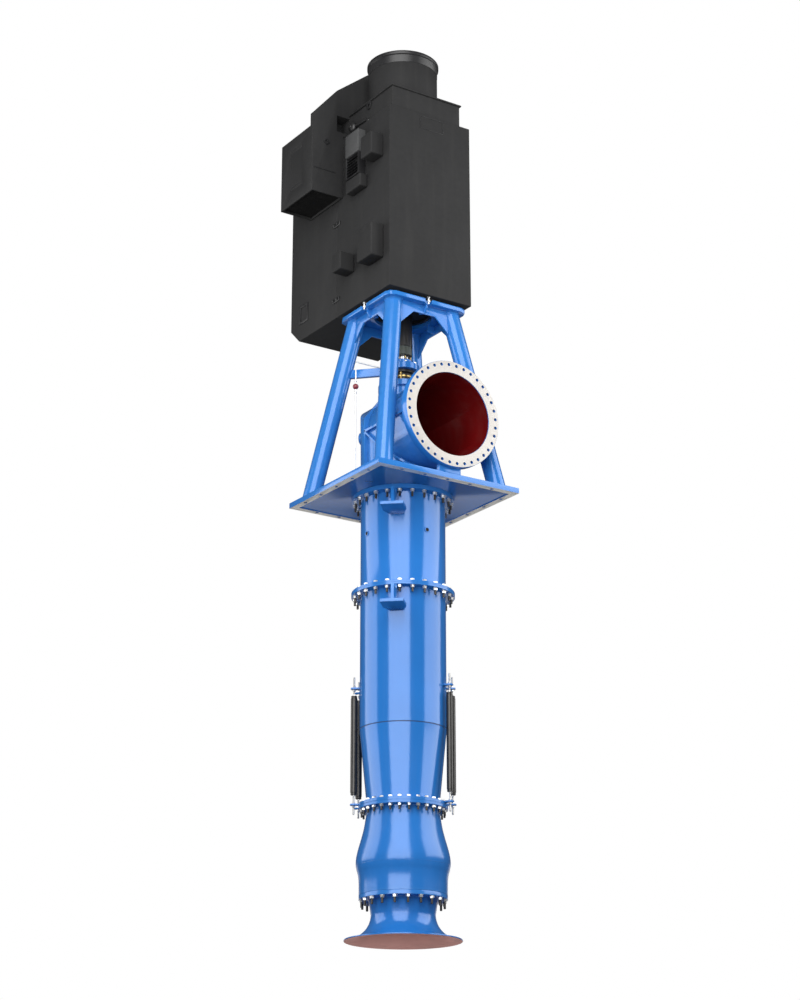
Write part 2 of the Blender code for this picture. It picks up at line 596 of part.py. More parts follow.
def motor(shop):
    """The motor: frame, cooler, top housing, roof, thrust housing and air hood."""
    half, front, joint = MOTOR_HALF_X, MOTOR_FRONT_Y, MOTOR_JOINT_Y
    base_low, base_high = STAND_TOP_Z + STAND_TOP_T + GAP, MOTOR_Z - GAP
    flange = [(0.56, base_high), (0.56, base_low), (0.33, base_low), (0.33, base_high)]
    shop.add("motor_flange", ring_mesh("motor_flange", flange), (DARK, 0.5))
    shop.add("motor_frame", box_mesh("motor_frame", (-half, front, MOTOR_Z), (half, joint, MOTOR_SHOULDER_Z)),
             (DARK, 0.6))
    cooler = [(joint + GAP, MOTOR_Z), (MOTOR_BACK_Y - 0.21, MOTOR_Z), (MOTOR_BACK_Y, MOTOR_Z + 0.20),
              (MOTOR_BACK_Y, MOTOR_SHOULDER_Z), (joint + GAP, MOTOR_SHOULDER_Z)]
    shop.add("motor_cooler", slab_mesh("motor_cooler", cooler, -half, half, "X"), (DARK, 0.6))
    top_half, top_front = 0.52, -0.545
    roof_low = ROOF_Z - 0.02
    housing = box_mesh("motor_top_housing", (-top_half, top_front, MOTOR_SHOULDER_Z + GAP),
                       (top_half, HOOD_BACK_Y, roof_low - GAP))
    shop.add("motor_top_housing", housing, (DARK, 0.6))
    roof = box_mesh("motor_roof", (-0.541, -0.563, roof_low), (0.541, HOOD_FRONT_Y - GAP, ROOF_Z))
    shop.add("motor_roof", roof, (DARK, 0.6))
    thrust = [(0.0, THRUST_TOP_Z - 0.16), (THRUST_R, THRUST_TOP_Z - 0.16), (THRUST_R, ROOF_Z + GAP),
              (0.0, ROOF_Z + GAP)]
    shop.add("thrust_housing", disc_mesh("thrust_housing", thrust), (DARK, 0.5))
    cover_low = THRUST_TOP_Z - 0.16 + GAP
    cover = [(0.0, THRUST_TOP_Z), (THRUST_FLANGE_R, THRUST_TOP_Z), (THRUST_FLANGE_R, cover_low),
             (0.0, cover_low)]
    shop.add("thrust_cover", disc_mesh("thrust_cover", cover), (DARK, 0.5))
    side = -half - GAP
    inner = (-top_half - GAP, MOTOR_SHOULDER_Z + 0.02)
    hood = [(HOOD_OUTER_X, HOOD_MOUTH_Z), (side, HOOD_MOUTH_Z), (side, inner[1]), inner, (inner[0], roof_low),
            (top_half, roof_low), (top_half, 5.82), (0.24, HOOD_TOP_Z), (-0.24, HOOD_TOP_Z), (-0.715, 5.70),
            (HOOD_OUTER_X, 5.27)]
    piece = shop.add("air_hood", slab_mesh("air_hood", hood, HOOD_FRONT_Y, HOOD_BACK_Y, "Y"), (DARK, 0.6))
    wall, edge = 0.02, HOOD_FRONT_Y + 0.06
    mouth = box_mesh("hood_mouth", (HOOD_OUTER_X + wall, HOOD_FRONT_Y + wall, HOOD_MOUTH_Z - 0.1),
                     (side - wall, HOOD_BACK_Y - wall, HOOD_MOUTH_Z + HOOD_DEPTH))
    notch = box_mesh("hood_notch", (-0.715, HOOD_FRONT_Y - 0.1, 5.10), (-0.40, HOOD_FRONT_Y + 0.20, 5.33))
    lower = [(HOOD_OUTER_X - 0.2, 5.10), (HOOD_OUTER_X, 5.10), (-0.70, 5.46), (-0.24, 5.98), (0.6, 5.98),
             (0.6, 6.3), (HOOD_OUTER_X - 0.2, 6.3)]
    shell = slab_mesh("hood_shoulder", lower, edge, HOOD_BACK_Y + 0.1, "Y")
    for name, mesh in {"hood_mouth": mouth, "hood_notch": notch, "hood_shoulder": shell}.items():
        boolean(piece, shop.tool(name + "_cutter", mesh))


def motor_boxes(shop):
    """The terminal and auxiliary boxes on the motor's left side."""
    side = -MOTOR_HALF_X - GAP
    boxes = {
        "terminal_box_upper": (0.19, -0.49, -0.235, 4.35, 4.66),
        "terminal_box_lower": (0.19, -0.50, -0.16, 2.94, 3.39),
        "heater_box": (0.22, 0.18, 0.38, 3.00, 3.25),
        "sensor_box": (0.12, -0.07, 0.24, 4.58, 4.90),
        "cable_box": (0.12, -0.12, 0.23, 4.07, 4.25),
    }
    for name, (reach, y0, y1, z0, z1) in boxes.items():
        shop.add(name, box_mesh(name, (side - reach, y0, z0), (side, y1, z1)), (DARK, 0.5))


def main():
    """Build every piece of the pump."""
    clear_scene()
    shop = Shop()
    suction_bell(shop)
    bowl_casing(shop)
    bowl_diffuser(shop)
    lower_column(shop)
    upper_column(shop)
    base_plate(shop)
    lug_angle = math.radians(180 + 48)
    for place, turn in (("front", 0.0), ("rear", math.pi)):
        column_lug(shop, "column_lug_upper_" + place, lug_angle + turn, SEAT_STEP - 0.055)
        column_lug(shop, "column_lug_lower_" + place, lug_angle + turn, MID_JOINT_Z - GAP - FLANGE_T)
    for k, degrees in enumerate(ROD_ANGLES):
        tie_rod(shop, "tie_rod_%d" % (k + 1), math.radians(degrees))
    discharge_head(shop)
    discharge_flange(shop)
    discharge_support(shop)
    shaft_line(shop)
    gland_and_bearing(shop)
    stand(shop)
    bearing_arm(shop)
    seal_pipe(shop)
    motor(shop)
    motor_boxes(shop)


main()
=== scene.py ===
"""Finish model of a vertical circulating water pump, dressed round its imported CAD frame.

Each sub-assembly is a class that keeps its sizes and models its own pieces. Pieces are
drawn round the pump's axis and then moved onto it, so that their place is in their mesh.
Units are metres, +Z is up.
"""
import logging
import math
from collections.abc import Callable, Iterator, Sequence
from contextlib import contextmanager
from dataclasses import dataclass, field
from enum import Enum

import bmesh
import bpy
from mathutils import Matrix, Vector


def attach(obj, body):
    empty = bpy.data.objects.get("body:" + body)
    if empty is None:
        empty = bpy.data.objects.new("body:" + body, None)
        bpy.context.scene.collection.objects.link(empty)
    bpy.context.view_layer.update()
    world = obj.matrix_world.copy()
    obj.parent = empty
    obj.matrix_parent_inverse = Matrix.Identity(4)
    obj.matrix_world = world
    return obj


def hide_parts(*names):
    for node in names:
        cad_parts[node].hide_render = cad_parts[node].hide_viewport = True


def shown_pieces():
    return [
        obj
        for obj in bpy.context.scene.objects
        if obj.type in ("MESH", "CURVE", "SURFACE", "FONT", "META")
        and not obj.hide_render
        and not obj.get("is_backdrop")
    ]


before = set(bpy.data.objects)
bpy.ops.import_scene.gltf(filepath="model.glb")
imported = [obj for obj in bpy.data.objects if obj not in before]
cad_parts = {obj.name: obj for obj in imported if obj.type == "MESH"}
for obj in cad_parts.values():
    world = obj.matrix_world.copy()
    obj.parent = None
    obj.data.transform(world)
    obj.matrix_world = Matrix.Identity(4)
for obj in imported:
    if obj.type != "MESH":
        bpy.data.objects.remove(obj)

log = logging.getLogger("pump")

Colour = tuple[float, float, float]
Profile = Sequence[tuple[float, float]]
Test = Callable[[Vector, Vector], bool]

AXIS = Vector((0.0, 0.975, 0.0))
ROUND = 144
SMALL_ROUND = 48
FULL_TURN = 2 * math.pi
MERGE = 0.00002
FIXED = "frame"
TURNING = "rotor"


class Shade(Enum):
    """How a finished piece is shaded."""

    SOFT = 35.0
    CRISP = 20.0


def deselect() -> None:
    """Leave nothing selected and nothing in edit mode."""
    if bpy.context.mode != "OBJECT":
        bpy.ops.object.mode_set(mode="OBJECT")
    bpy.ops.object.select_all(action="DESELECT")


def take(piece: bpy.types.Object) -> None:
    """Make one piece the only selected and active one."""
    deselect()
    piece.select_set(True)
    bpy.context.view_layer.objects.active = piece


@contextmanager
def bench(piece: bpy.types.Object) -> Iterator[bpy.types.Object]:
    """Keep a piece in edit mode for the length of a with block.

    Args:
        piece: The mesh object to work on.

    Returns:
        The same piece, in edit mode until the block ends.
    """
    take(piece)
    bpy.ops.object.mode_set(mode="EDIT")
    yield piece
    bpy.ops.object.mode_set(mode="OBJECT")


def pick(piece: bpy.types.Object, test: Test) -> int:
    """Select the faces of a piece in edit mode by their middle and normal.

    Args:
        piece: The mesh object, in edit mode.
        test: Says whether a face with this middle and normal is picked.

    Returns:
        How many faces are picked.
    """
    bpy.ops.mesh.select_mode(type="FACE")
    bpy.ops.mesh.select_all(action="DESELECT")
    work = bmesh.from_edit_mesh(piece.data)
    count = 0
    for face in work.faces:
        if test(face.calc_center_median(), face.normal):
            face.select_set(True)
            count += 1
    bmesh.update_edit_mesh(piece.data)
    return count


def start_point(name: str, point: Sequence[float]) -> bpy.types.Object:
    """Start a drawing: a small plane merged to one vertex at a point.

    Args:
        name: The new object's name.
        point: Where its one vertex lies.

    Returns:
        The new object, in object mode.
    """
    deselect()
    bpy.ops.mesh.primitive_plane_add(size=0.1, location=(0.0, 0.0, 0.0))
    piece = bpy.context.object
    piece.name = name
    piece.data.name = name
    with bench(piece):
        bpy.ops.mesh.select_mode(type="VERT")
        bpy.ops.mesh.select_all(action="SELECT")
        bpy.ops.mesh.merge(type="CENTER")
        bpy.ops.transform.translate(value=Vector(point))
    return piece


def draw_on(points: Sequence[Sequence[float]]) -> None:
    """Extrude the selected vertex from point to point, in edit mode."""
    for here, there in zip(points, points[1:]):
        bpy.ops.mesh.extrude_region_move(TRANSFORM_OT_translate={"value": Vector(there) - Vector(here)})


def turned(name: str, outline: Profile, steps: int = ROUND, closed: bool = True) -> bpy.types.Object:
    """Draw a half outline and spin it round the Z axis.

    Args:
        name: The new object's name.
        outline: (radius, height) points; a closed outline ends where it starts.
        steps: How many sides the round has.
        closed: Whether the last point is joined to the first.

    Returns:
        The turned solid, with its normals outwards.
    """
    points = [(r, 0.0, z) for r, z in outline]
    if closed:
        points.append(points[0])
    piece = start_point(name, points[0])
    with bench(piece):
        bpy.ops.mesh.select_all(action="SELECT")
        draw_on(points)
        bpy.ops.mesh.select_all(action="SELECT")
        bpy.ops.mesh.spin(steps=steps, angle=FULL_TURN, center=(0, 0, 0), axis=(0, 0, 1))
        tidy_mesh()
    return piece


def tidy_mesh() -> None:
    """Merge doubles and turn every face outwards, in edit mode."""
    bpy.ops.mesh.select_all(action="SELECT")
    bpy.ops.mesh.remove_doubles(threshold=MERGE)
    bpy.ops.mesh.normals_make_consistent(inside=False)


def slab(name: str, outline: Sequence[Sequence[float]], depth: Sequence[float]) -> bpy.types.Object:
    """Draw a flat outline, fill it and extrude it into a plate.

    Args:
        name: The new object's name.
        outline: The corners, all in one plane.
        depth: How far, and which way, the face is extruded.

    Returns:
        The plate, with its normals outwards.
    """
    piece = start_point(name, outline[0])
    with bench(piece):
        bpy.ops.mesh.select_all(action="SELECT")
        draw_on([*outline, outline[0]])
        bpy.ops.mesh.select_all(action="SELECT")
        bpy.ops.mesh.remove_doubles(threshold=MERGE)
        bpy.ops.mesh.edge_face_add()
        bpy.ops.mesh.extrude_region_move(TRANSFORM_OT_translate={"value": Vector(depth)})
        tidy_mesh()
    return piece


def block(name: str, low: Sequence[float], high: Sequence[float]) -> bpy.types.Object:
    """Start a box between two corners, to be shaped further."""
    deselect()
    low, high = Vector(low), Vector(high)
    bpy.ops.mesh.primitive_cube_add(size=1.0, location=(low + high) / 2, scale=high - low)
    piece = bpy.context.object
    piece.name = name
    piece.data.name = name
    set_in_place(piece)
    return piece


def bar(name: str, start: Sequence[float], end: Sequence[float], radius: float, steps: int = SMALL_ROUND,
        end_radius: float | None = None) -> bpy.types.Object:
    """Start a round bar or cone between two points, to be shaped further.

    Args:
        name: The new object's name.
        start: The middle of its first end.
        end: The middle of its other end.
        radius: Its radius at the start.
        steps: How many sides it has.
        end_radius: Its radius at the end, if that differs.

    Returns:
        The bar, with its place in its mesh.
    """
    deselect()
    start, end = Vector(start), Vector(end)
    way = end - start
    bpy.ops.mesh.primitive_cone_add(vertices=steps, radius1=radius, depth=way.length,
                                    radius2=radius if end_radius is None else end_radius,
                                    location=(start + end) / 2, rotation=way.to_track_quat("Z", "Y").to_euler())
    piece = bpy.context.object
    piece.name = name
    piece.data.name = name
    set_in_place(piece)
    return piece


def set_in_place(piece: bpy.types.Object, move: Sequence[float] = (0.0, 0.0, 0.0)) -> bpy.types.Object:
    """Move a piece and put its place, turn and size into its mesh."""
    take(piece)
    piece.location = piece.location + Vector(move)
    bpy.ops.object.transform_apply(location=True, rotation=True, scale=True)
    return piece


def cut(piece: bpy.types.Object, tool: bpy.types.Object, operation: str = "DIFFERENCE",
        finish: "Finish | None" = None) -> bpy.types.Object:
    """Cut, join or intersect a piece with a tool, which is then thrown away.

    Args:
        piece: The piece that is changed.
        tool: The other solid.
        operation: DIFFERENCE, UNION or INTERSECT.
        finish: The finish of the faces that the tool leaves, if it differs from the piece's.

    Returns:
        The changed piece.
    """
    if finish:
        tool.data.materials.append(finish.material())
    take(piece)
    step = piece.modifiers.new("cut", "BOOLEAN")
    step.object = tool
    step.operation = operation
    step.solver = "EXACT"
    step.material_mode = "TRANSFER"
    bpy.ops.object.modifier_apply(modifier=step.name)
    bpy.data.objects.remove(tool, do_unlink=True)
    return piece


def soften(piece: bpy.types.Object, width: float, segments: int = 2, angle: float = 30.0,
           shade: Shade = Shade.SOFT) -> bpy.types.Object:
    """Round a piece's sharp edges and shade it.

    Args:
        piece: The piece.
        width: The bevel's width, or 0 for none.
        segments: The bevel's segments.
        angle: Edges sharper than this are rounded, in degrees.
        shade: The shading's limit angle.

    Returns:
        The softened piece.
    """
    take(piece)
    if width:
        step = piece.modifiers.new("edges", "BEVEL")
        step.width = width
        step.segments = segments
        step.limit_method = "ANGLE"
        step.angle_limit = math.radians(angle)
        step.harden_normals = False
        bpy.ops.object.modifier_apply(modifier=step.name)
    bpy.ops.object.shade_smooth_by_angle(angle=math.radians(shade.value))
    return piece


def copy_of(piece: bpy.types.Object, name: str, place: Matrix) -> bpy.types.Object:
    """Copy a piece with its own mesh and put the copy in its place."""
    take(piece)
    bpy.ops.object.duplicate(linked=False)
    twin = bpy.context.object
    twin.name = name
    twin.data.name = name
    twin.data.transform(place)
    twin.data.update()
    return twin


def joined(name: str, pieces: Sequence[bpy.types.Object]) -> bpy.types.Object:
    """Join several pieces into one mesh."""
    deselect()
    for piece in pieces:
        piece.select_set(True)
    bpy.context.view_layer.objects.active = pieces[0]
    if len(pieces) > 1:
        bpy.ops.object.join()
    result = bpy.context.object
    result.name = name
    result.data.name = name
    return result


def turn_z(degrees: float) -> Matrix:
    """The turn round the pump's axis by an angle in degrees."""
    return Matrix.Rotation(math.radians(degrees), 4, "Z")


def ring_of(name: str, pattern: bpy.types.Object, count: int, first: float = 0.0) -> bpy.types.Object:
    """Copy a pattern evenly round the axis and join the copies; the pattern is used up.

    Args:
        name: The joined piece's name.
        pattern: The piece to copy, at angle zero.
        count: How many there are.
        first: The first one's angle in degrees.

    Returns:
        The joined ring.
    """
    copies = [copy_of(pattern, "%s_%d" % (name, k), turn_z(first + 360.0 * k / count)) for k in range(count)]
    bpy.data.objects.remove(pattern, do_unlink=True)
    return joined(name, copies)


def copy_node(name: str, node: str) -> bpy.types.Object:
    """A merged copy of a CAD node's mesh, drawn round the pump's axis.

    Args:
        name: The copy's name.
        node: The CAD node.

    Returns:
        The copy, with flat faces made whole again.
    """
    take(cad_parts[node])
    bpy.ops.object.duplicate(linked=False)
    twin = bpy.context.object
    for key in list(twin.keys()):
        del twin[key]
    twin.parent = None
    twin.name = name
    twin.data.name = name
    twin.data.materials.clear()
    twin.data.transform(Matrix.Translation(-AXIS))
    with bench(twin):
        bpy.ops.mesh.select_all(action="SELECT")
        bpy.ops.mesh.remove_doubles(threshold=MERGE)
        bpy.ops.mesh.dissolve_limited(angle_limit=math.radians(1.0))
    return twin


def settle(piece: bpy.types.Object, finish: "Finish", slot: str | None = None, nodes: Sequence[str] = (),
           body: str = FIXED) -> bpy.types.Object:
    """Put a finished piece on the pump: place, material, body and the nodes it stands for.

    Args:
        piece: The piece, drawn round the axis at the origin.
        finish: The finish of all faces that have none yet.
        slot: The record's material slot; not used.
        nodes: The CAD nodes that the piece stands for.
        body: The CAD body that it moves with.

    Returns:
        The settled piece.
    """
    set_in_place(piece, AXIS)
    if not any(piece.data.materials):
        piece.data.materials.clear()
        piece.data.materials.append(finish.material())
    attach(piece, body)
    if nodes:
        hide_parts(*nodes)
    return piece


def coat(piece: bpy.types.Object, main: "Finish", zones: Sequence[tuple["Finish", Test]]) -> bpy.types.Object:
    """Give a piece its main finish and other finishes on chosen faces.

    Args:
        piece: The piece, still drawn round the axis.
        main: The finish of every other face.
        zones: Pairs of a finish and the test that picks its faces.

    Returns:
        The same piece.
    """
    piece.data.materials.clear()
    for finish in [main, *(zone[0] for zone in zones)]:
        piece.data.materials.append(finish.material())
    with bench(piece):
        for index, (_, test) in enumerate(zones, 1):
            pick(piece, test)
            piece.active_material_index = index
            bpy.ops.object.material_slot_assign()
    return piece


class Effects:
    """The shader node groups that several finishes share, each made once."""

    @staticmethod
    def _group(name: str, inputs: Sequence[tuple[str, float]], outputs: Sequence[tuple[str, str]]
               ) -> tuple[bpy.types.NodeTree, bpy.types.Node, bpy.types.Node]:
        """Make an empty group with its sockets.

        Args:
            name: The group's name.
            inputs: Names and default values of its number inputs.
            outputs: Names and socket types of its outputs.

        Returns:
            The group, its input node and its output node.
        """
        group = bpy.data.node_groups.new(name, "ShaderNodeTree")
        group.interface.new_socket("Vector", in_out="INPUT", socket_type="NodeSocketVector")
        for label, value in inputs:
            socket = group.interface.new_socket(label, in_out="INPUT", socket_type="NodeSocketFloat")
            socket.default_value = value
        for label, kind in outputs:
            group.interface.new_socket(label, in_out="OUTPUT", socket_type=kind)
        return group, group.nodes.new("NodeGroupInput"), group.nodes.new("NodeGroupOutput")

    @classmethod
    def peel(cls) -> bpy.types.NodeTree:
        """The fine waviness of sprayed paint, as a height and a roughness change."""
        if "paint_peel" in bpy.data.node_groups:
            return bpy.data.node_groups["paint_peel"]
        group, source, sink = cls._group("paint_peel", [("Scale", 60.0)],
                                         [("Height", "NodeSocketFloat"), ("Patches", "NodeSocketFloat")])
        fine = group.nodes.new("ShaderNodeTexNoise")
        fine.inputs["Detail"].default_value = 3.0
        broad = group.nodes.new("ShaderNodeTexNoise")
        broad.inputs["Scale"].default_value = 1.7
        broad.inputs["Detail"].default_value = 4.0
        link = group.links.new
        link(source.outputs["Vector"], fine.inputs["Vector"])
        link(source.outputs["Scale"], fine.inputs["Scale"])
        link(source.outputs["Vector"], broad.inputs["Vector"])
        link(fine.outputs["Fac"], sink.inputs["Height"])
        link(broad.outputs["Fac"], sink.inputs["Patches"])
        return group

    @classmethod
    def dust(cls) -> bpy.types.NodeTree:
        """Faint runs and dust that gather on faces which look up, as a mask."""
        if "settled_dust" in bpy.data.node_groups:
            return bpy.data.node_groups["settled_dust"]
        group, source, sink = cls._group("settled_dust", [("Amount", 0.3)], [("Mask", "NodeSocketFloat")])
        stretch = group.nodes.new("ShaderNodeMapping")
        stretch.inputs["Scale"].default_value = (9.0, 9.0, 0.8)
        runs = group.nodes.new("ShaderNodeTexNoise")
        runs.inputs["Scale"].default_value = 1.0
        runs.inputs["Detail"].default_value = 5.0
        shape = group.nodes.new("ShaderNodeMapRange")
        shape.inputs["From Min"].default_value = 0.50
        shape.inputs["From Max"].default_value = 0.80
        facing = group.nodes.new("ShaderNodeNewGeometry")
        split = group.nodes.new("ShaderNodeSeparateXYZ")
        upward = group.nodes.new("ShaderNodeMapRange")
        upward.inputs["From Min"].default_value = 0.2
        upward.inputs["From Max"].default_value = 1.0
        upward.inputs["To Min"].default_value = 0.35
        total = group.nodes.new("ShaderNodeMath")
        total.operation = "MULTIPLY"
        scaled = group.nodes.new("ShaderNodeMath")
        scaled.operation = "MULTIPLY"
        link = group.links.new
        link(source.outputs["Vector"], stretch.inputs["Vector"])
        link(stretch.outputs["Vector"], runs.inputs["Vector"])
        link(runs.outputs["Fac"], shape.inputs["Value"])
        link(facing.outputs["Normal"], split.inputs["Vector"])
        link(split.outputs["Z"], upward.inputs["Value"])
        link(shape.outputs["Result"], total.inputs[0])
        link(upward.outputs["Result"], total.inputs[1])
        link(total.outputs["Value"], scaled.inputs[0])
        link(source.outputs["Amount"], scaled.inputs[1])
        link(scaled.outputs["Value"], sink.inputs["Mask"])
        return group

    @classmethod
    def edge_rub_and_highlight(cls) -> bpy.types.NodeTree:
        """Thin, rubbed paint along raised edges, lightened also as a painted highlight, as a mask."""
        if "edge_rub_and_painted_highlight" in bpy.data.node_groups:
            return bpy.data.node_groups["edge_rub_and_painted_highlight"]
        group, source, sink = cls._group("edge_rub_and_painted_highlight", [("Amount", 0.5)], [("Mask", "NodeSocketFloat")])
        shape = group.nodes.new("ShaderNodeNewGeometry")
        edge = group.nodes.new("ShaderNodeMapRange")
        edge.inputs["From Min"].default_value = 0.53
        edge.inputs["From Max"].default_value = 0.62
        breaks = group.nodes.new("ShaderNodeTexNoise")
        breaks.inputs["Scale"].default_value = 14.0
        breaks.inputs["Detail"].default_value = 4.0
        rubbed_lit_edge = group.nodes.new("ShaderNodeMath")
        rubbed_lit_edge.operation = "MULTIPLY"
        scaled = group.nodes.new("ShaderNodeMath")
        scaled.operation = "MULTIPLY"
        link = group.links.new
        link(shape.outputs["Pointiness"], edge.inputs["Value"])
        link(source.outputs["Vector"], breaks.inputs["Vector"])
        link(edge.outputs["Result"], rubbed_lit_edge.inputs[0])
        link(breaks.outputs["Fac"], rubbed_lit_edge.inputs[1])
        link(rubbed_lit_edge.outputs["Value"], scaled.inputs[0])
        link(source.outputs["Amount"], scaled.inputs[1])
        link(scaled.outputs["Value"], sink.inputs["Mask"])
        return group

    @classmethod
    def lathe(cls) -> bpy.types.NodeTree:
        """Fine concentric tool marks round the Z axis of the given vector."""
        if "lathe_marks" in bpy.data.node_groups:
            return bpy.data.node_groups["lathe_marks"]
        group, source, sink = cls._group("lathe_marks", [("Scale", 60.0)], [("Height", "NodeSocketFloat")])
        rings = group.nodes.new("ShaderNodeTexWave")
        rings.wave_type = "RINGS"
        rings.rings_direction = "Z"
        rings.inputs["Distortion"].default_value = 0.4
        rings.inputs["Detail"].default_value = 2.0
        link = group.links.new
        link(source.outputs["Vector"], rings.inputs["Vector"])
        link(source.outputs["Scale"], rings.inputs["Scale"])
        link(rings.outputs["Fac"], sink.inputs["Height"])
        return group


@dataclass(frozen=True)
class Finish:
    """A sprayed or unpainted surface: colours, gloss, texture, and rubbed paint along raised edges that is also
    lightened as a painted highlight.

    The base class is a paint; its subclasses change how the surface is textured.
    """

    name: str
    colour: Colour
    rubbed_lit_edge: Colour = (0.30, 0.30, 0.30)
    dust: Colour = (0.45, 0.43, 0.38)
    roughness: float = 0.30
    metallic: float = 0.0
    specular: float = 0.5
    coat: float = 0.0
    grain: float = 60.0
    bump: float = 0.04
    change: float = 0.10
    edge_rub_and_highlight: float = 0.35
    dustiness: float = 0.25

    def material(self) -> bpy.types.Material:
        """The Blender material of this finish, made at its first use."""
        if self.name in bpy.data.materials:
            return bpy.data.materials[self.name]
        material = bpy.data.materials.new(self.name)
        material.use_nodes = True
        self.wire(material.node_tree)
        return material

    def place(self, tree: bpy.types.NodeTree) -> bpy.types.NodeSocket:
        """The coordinates that the textures read, centred on the pump's axis."""
        here = tree.nodes.new("ShaderNodeTexCoord")
        centre = tree.nodes.new("ShaderNodeMapping")
        centre.inputs["Location"].default_value = -AXIS
        tree.links.new(here.outputs["Object"], centre.inputs["Vector"])
        return centre.outputs["Vector"]

    def height(self, tree: bpy.types.NodeTree, vector: bpy.types.NodeSocket,
               peel: bpy.types.Node) -> bpy.types.NodeSocket:
        """The height that the bump reads; a paint's is its own waviness."""
        return peel.outputs["Height"]

    def wire(self, tree: bpy.types.NodeTree) -> None:
        """Fill the material's node tree.

        Args:
            tree: The new material's nodes, with their Principled shader.
        """
        shader = tree.nodes["Principled BSDF"]
        link = tree.links.new
        vector = self.place(tree)
        peel = self.effect(tree, Effects.peel(), vector, "Scale", self.grain)
        dust = self.effect(tree, Effects.dust(), vector, "Amount", self.dustiness)
        rubbed_lit_edge = self.effect(tree, Effects.edge_rub_and_highlight(), vector, "Amount", self.edge_rub_and_highlight)
        shift = tree.nodes.new("ShaderNodeMapRange")
        shift.inputs["To Min"].default_value = 1.0 - self.change
        shift.inputs["To Max"].default_value = 1.0 + self.change
        shift.inputs["From Min"].default_value = 0.3
        shift.inputs["From Max"].default_value = 0.7
        tone = tree.nodes.new("ShaderNodeHueSaturation")
        tone.inputs["Color"].default_value = (*self.colour, 1.0)
        link(peel.outputs["Patches"], shift.inputs["Value"])
        link(shift.outputs["Result"], tone.inputs["Value"])
        # Raised edges are mixed towards the edge colour: rubbed paint, and a painted highlight where that colour is
        # lighter.
        rubbed_lit_colour = self.blend(tree, rubbed_lit_edge.outputs["Mask"], tone.outputs["Color"], self.rubbed_lit_edge)
        dusty = self.blend(tree, dust.outputs["Mask"], rubbed_lit_colour, self.dust)
        link(dusty, shader.inputs["Base Color"])
        rough = tree.nodes.new("ShaderNodeMapRange")
        rough.inputs["To Min"].default_value = self.roughness
        rough.inputs["To Max"].default_value = min(1.0, self.roughness + 0.35)
        link(dust.outputs["Mask"], rough.inputs["Value"])
        link(rough.outputs["Result"], shader.inputs["Roughness"])
        shader.inputs["Metallic"].default_value = self.metallic
        shader.inputs["Coat Weight"].default_value = self.coat
        shader.inputs["Specular IOR Level"].default_value = self.specular
        bump = tree.nodes.new("ShaderNodeBump")
        bump.inputs["Strength"].default_value = self.bump
        bump.inputs["Distance"].default_value = 0.002
        link(self.height(tree, vector, peel), bump.inputs["Height"])
        link(bump.outputs["Normal"], shader.inputs["Normal"])

    @staticmethod
    def effect(tree: bpy.types.NodeTree, group: bpy.types.NodeTree, vector: bpy.types.NodeSocket, label: str,
               value: float) -> bpy.types.Node:
        """Place a shared group in a material.

        Args:
            tree: The material's nodes.
            group: The shared group.
            vector: The coordinates it reads.
            label: Its number input.
            value: That input's value here.

        Returns:
            The group node.
        """
        node = tree.nodes.new("ShaderNodeGroup")
        node.node_tree = group
        node.inputs[label].default_value = value
        tree.links.new(vector, node.inputs["Vector"])
        return node

    @staticmethod
    def blend(tree: bpy.types.NodeTree, mask: bpy.types.NodeSocket, base: bpy.types.NodeSocket, top: Colour
              ) -> bpy.types.NodeSocket:
        """Mix a plain colour over a changing one by a mask."""
        mix = tree.nodes.new("ShaderNodeMix")
        mix.data_type = "RGBA"
        colour_in = [socket for socket in mix.inputs if socket.type == "RGBA"]
        colour_out = next(socket for socket in mix.outputs if socket.type == "RGBA")
        colour_in[1].default_value = (*top, 1.0)
        tree.links.new(mask, mix.inputs["Factor"])
        tree.links.new(base, colour_in[0])
        return colour_out


@dataclass(frozen=True)
class CastFinish(Finish):
    """Paint over a casting, whose skin shows as a coarse grain."""

    grain: float = 95.0
    bump: float = 0.16


@dataclass(frozen=True)
class TurnedFinish(Finish):
    """Metal from the lathe, with concentric tool marks about one axis."""

    centre: tuple[float, float, float] = (0.0, 0.0, 0.0)
    turn: tuple[float, float, float] = (0.0, 0.0, 0.0)
    pitch: float = 60.0

    def height(self, tree: bpy.types.NodeTree, vector: bpy.types.NodeSocket,
               peel: bpy.types.Node) -> bpy.types.NodeSocket:
        """The tool marks, about the finish's own axis."""
        axis = tree.nodes.new("ShaderNodeMapping")
        axis.vector_type = "TEXTURE"
        axis.inputs["Location"].default_value = self.centre
        axis.inputs["Rotation"].default_value = self.turn
        tree.links.new(vector, axis.inputs["Vector"])
        return self.effect(tree, Effects.lathe(), axis.outputs["Vector"], "Scale", self.pitch).outputs["Height"]


@dataclass(frozen=True)
class ScreenFinish(Finish):
    """A woven wire screen, drawn as a fine square mesh."""

    pitch: float = 55.0

    def height(self, tree: bpy.types.NodeTree, vector: bpy.types.NodeSocket,
               peel: bpy.types.Node) -> bpy.types.NodeSocket:
        """The weave of the wires as a height."""
        weave = tree.nodes.new("ShaderNodeTexChecker")
        weave.inputs["Scale"].default_value = self.pitch
        tree.links.new(vector, weave.inputs["Vector"])
        return weave.outputs["Fac"]


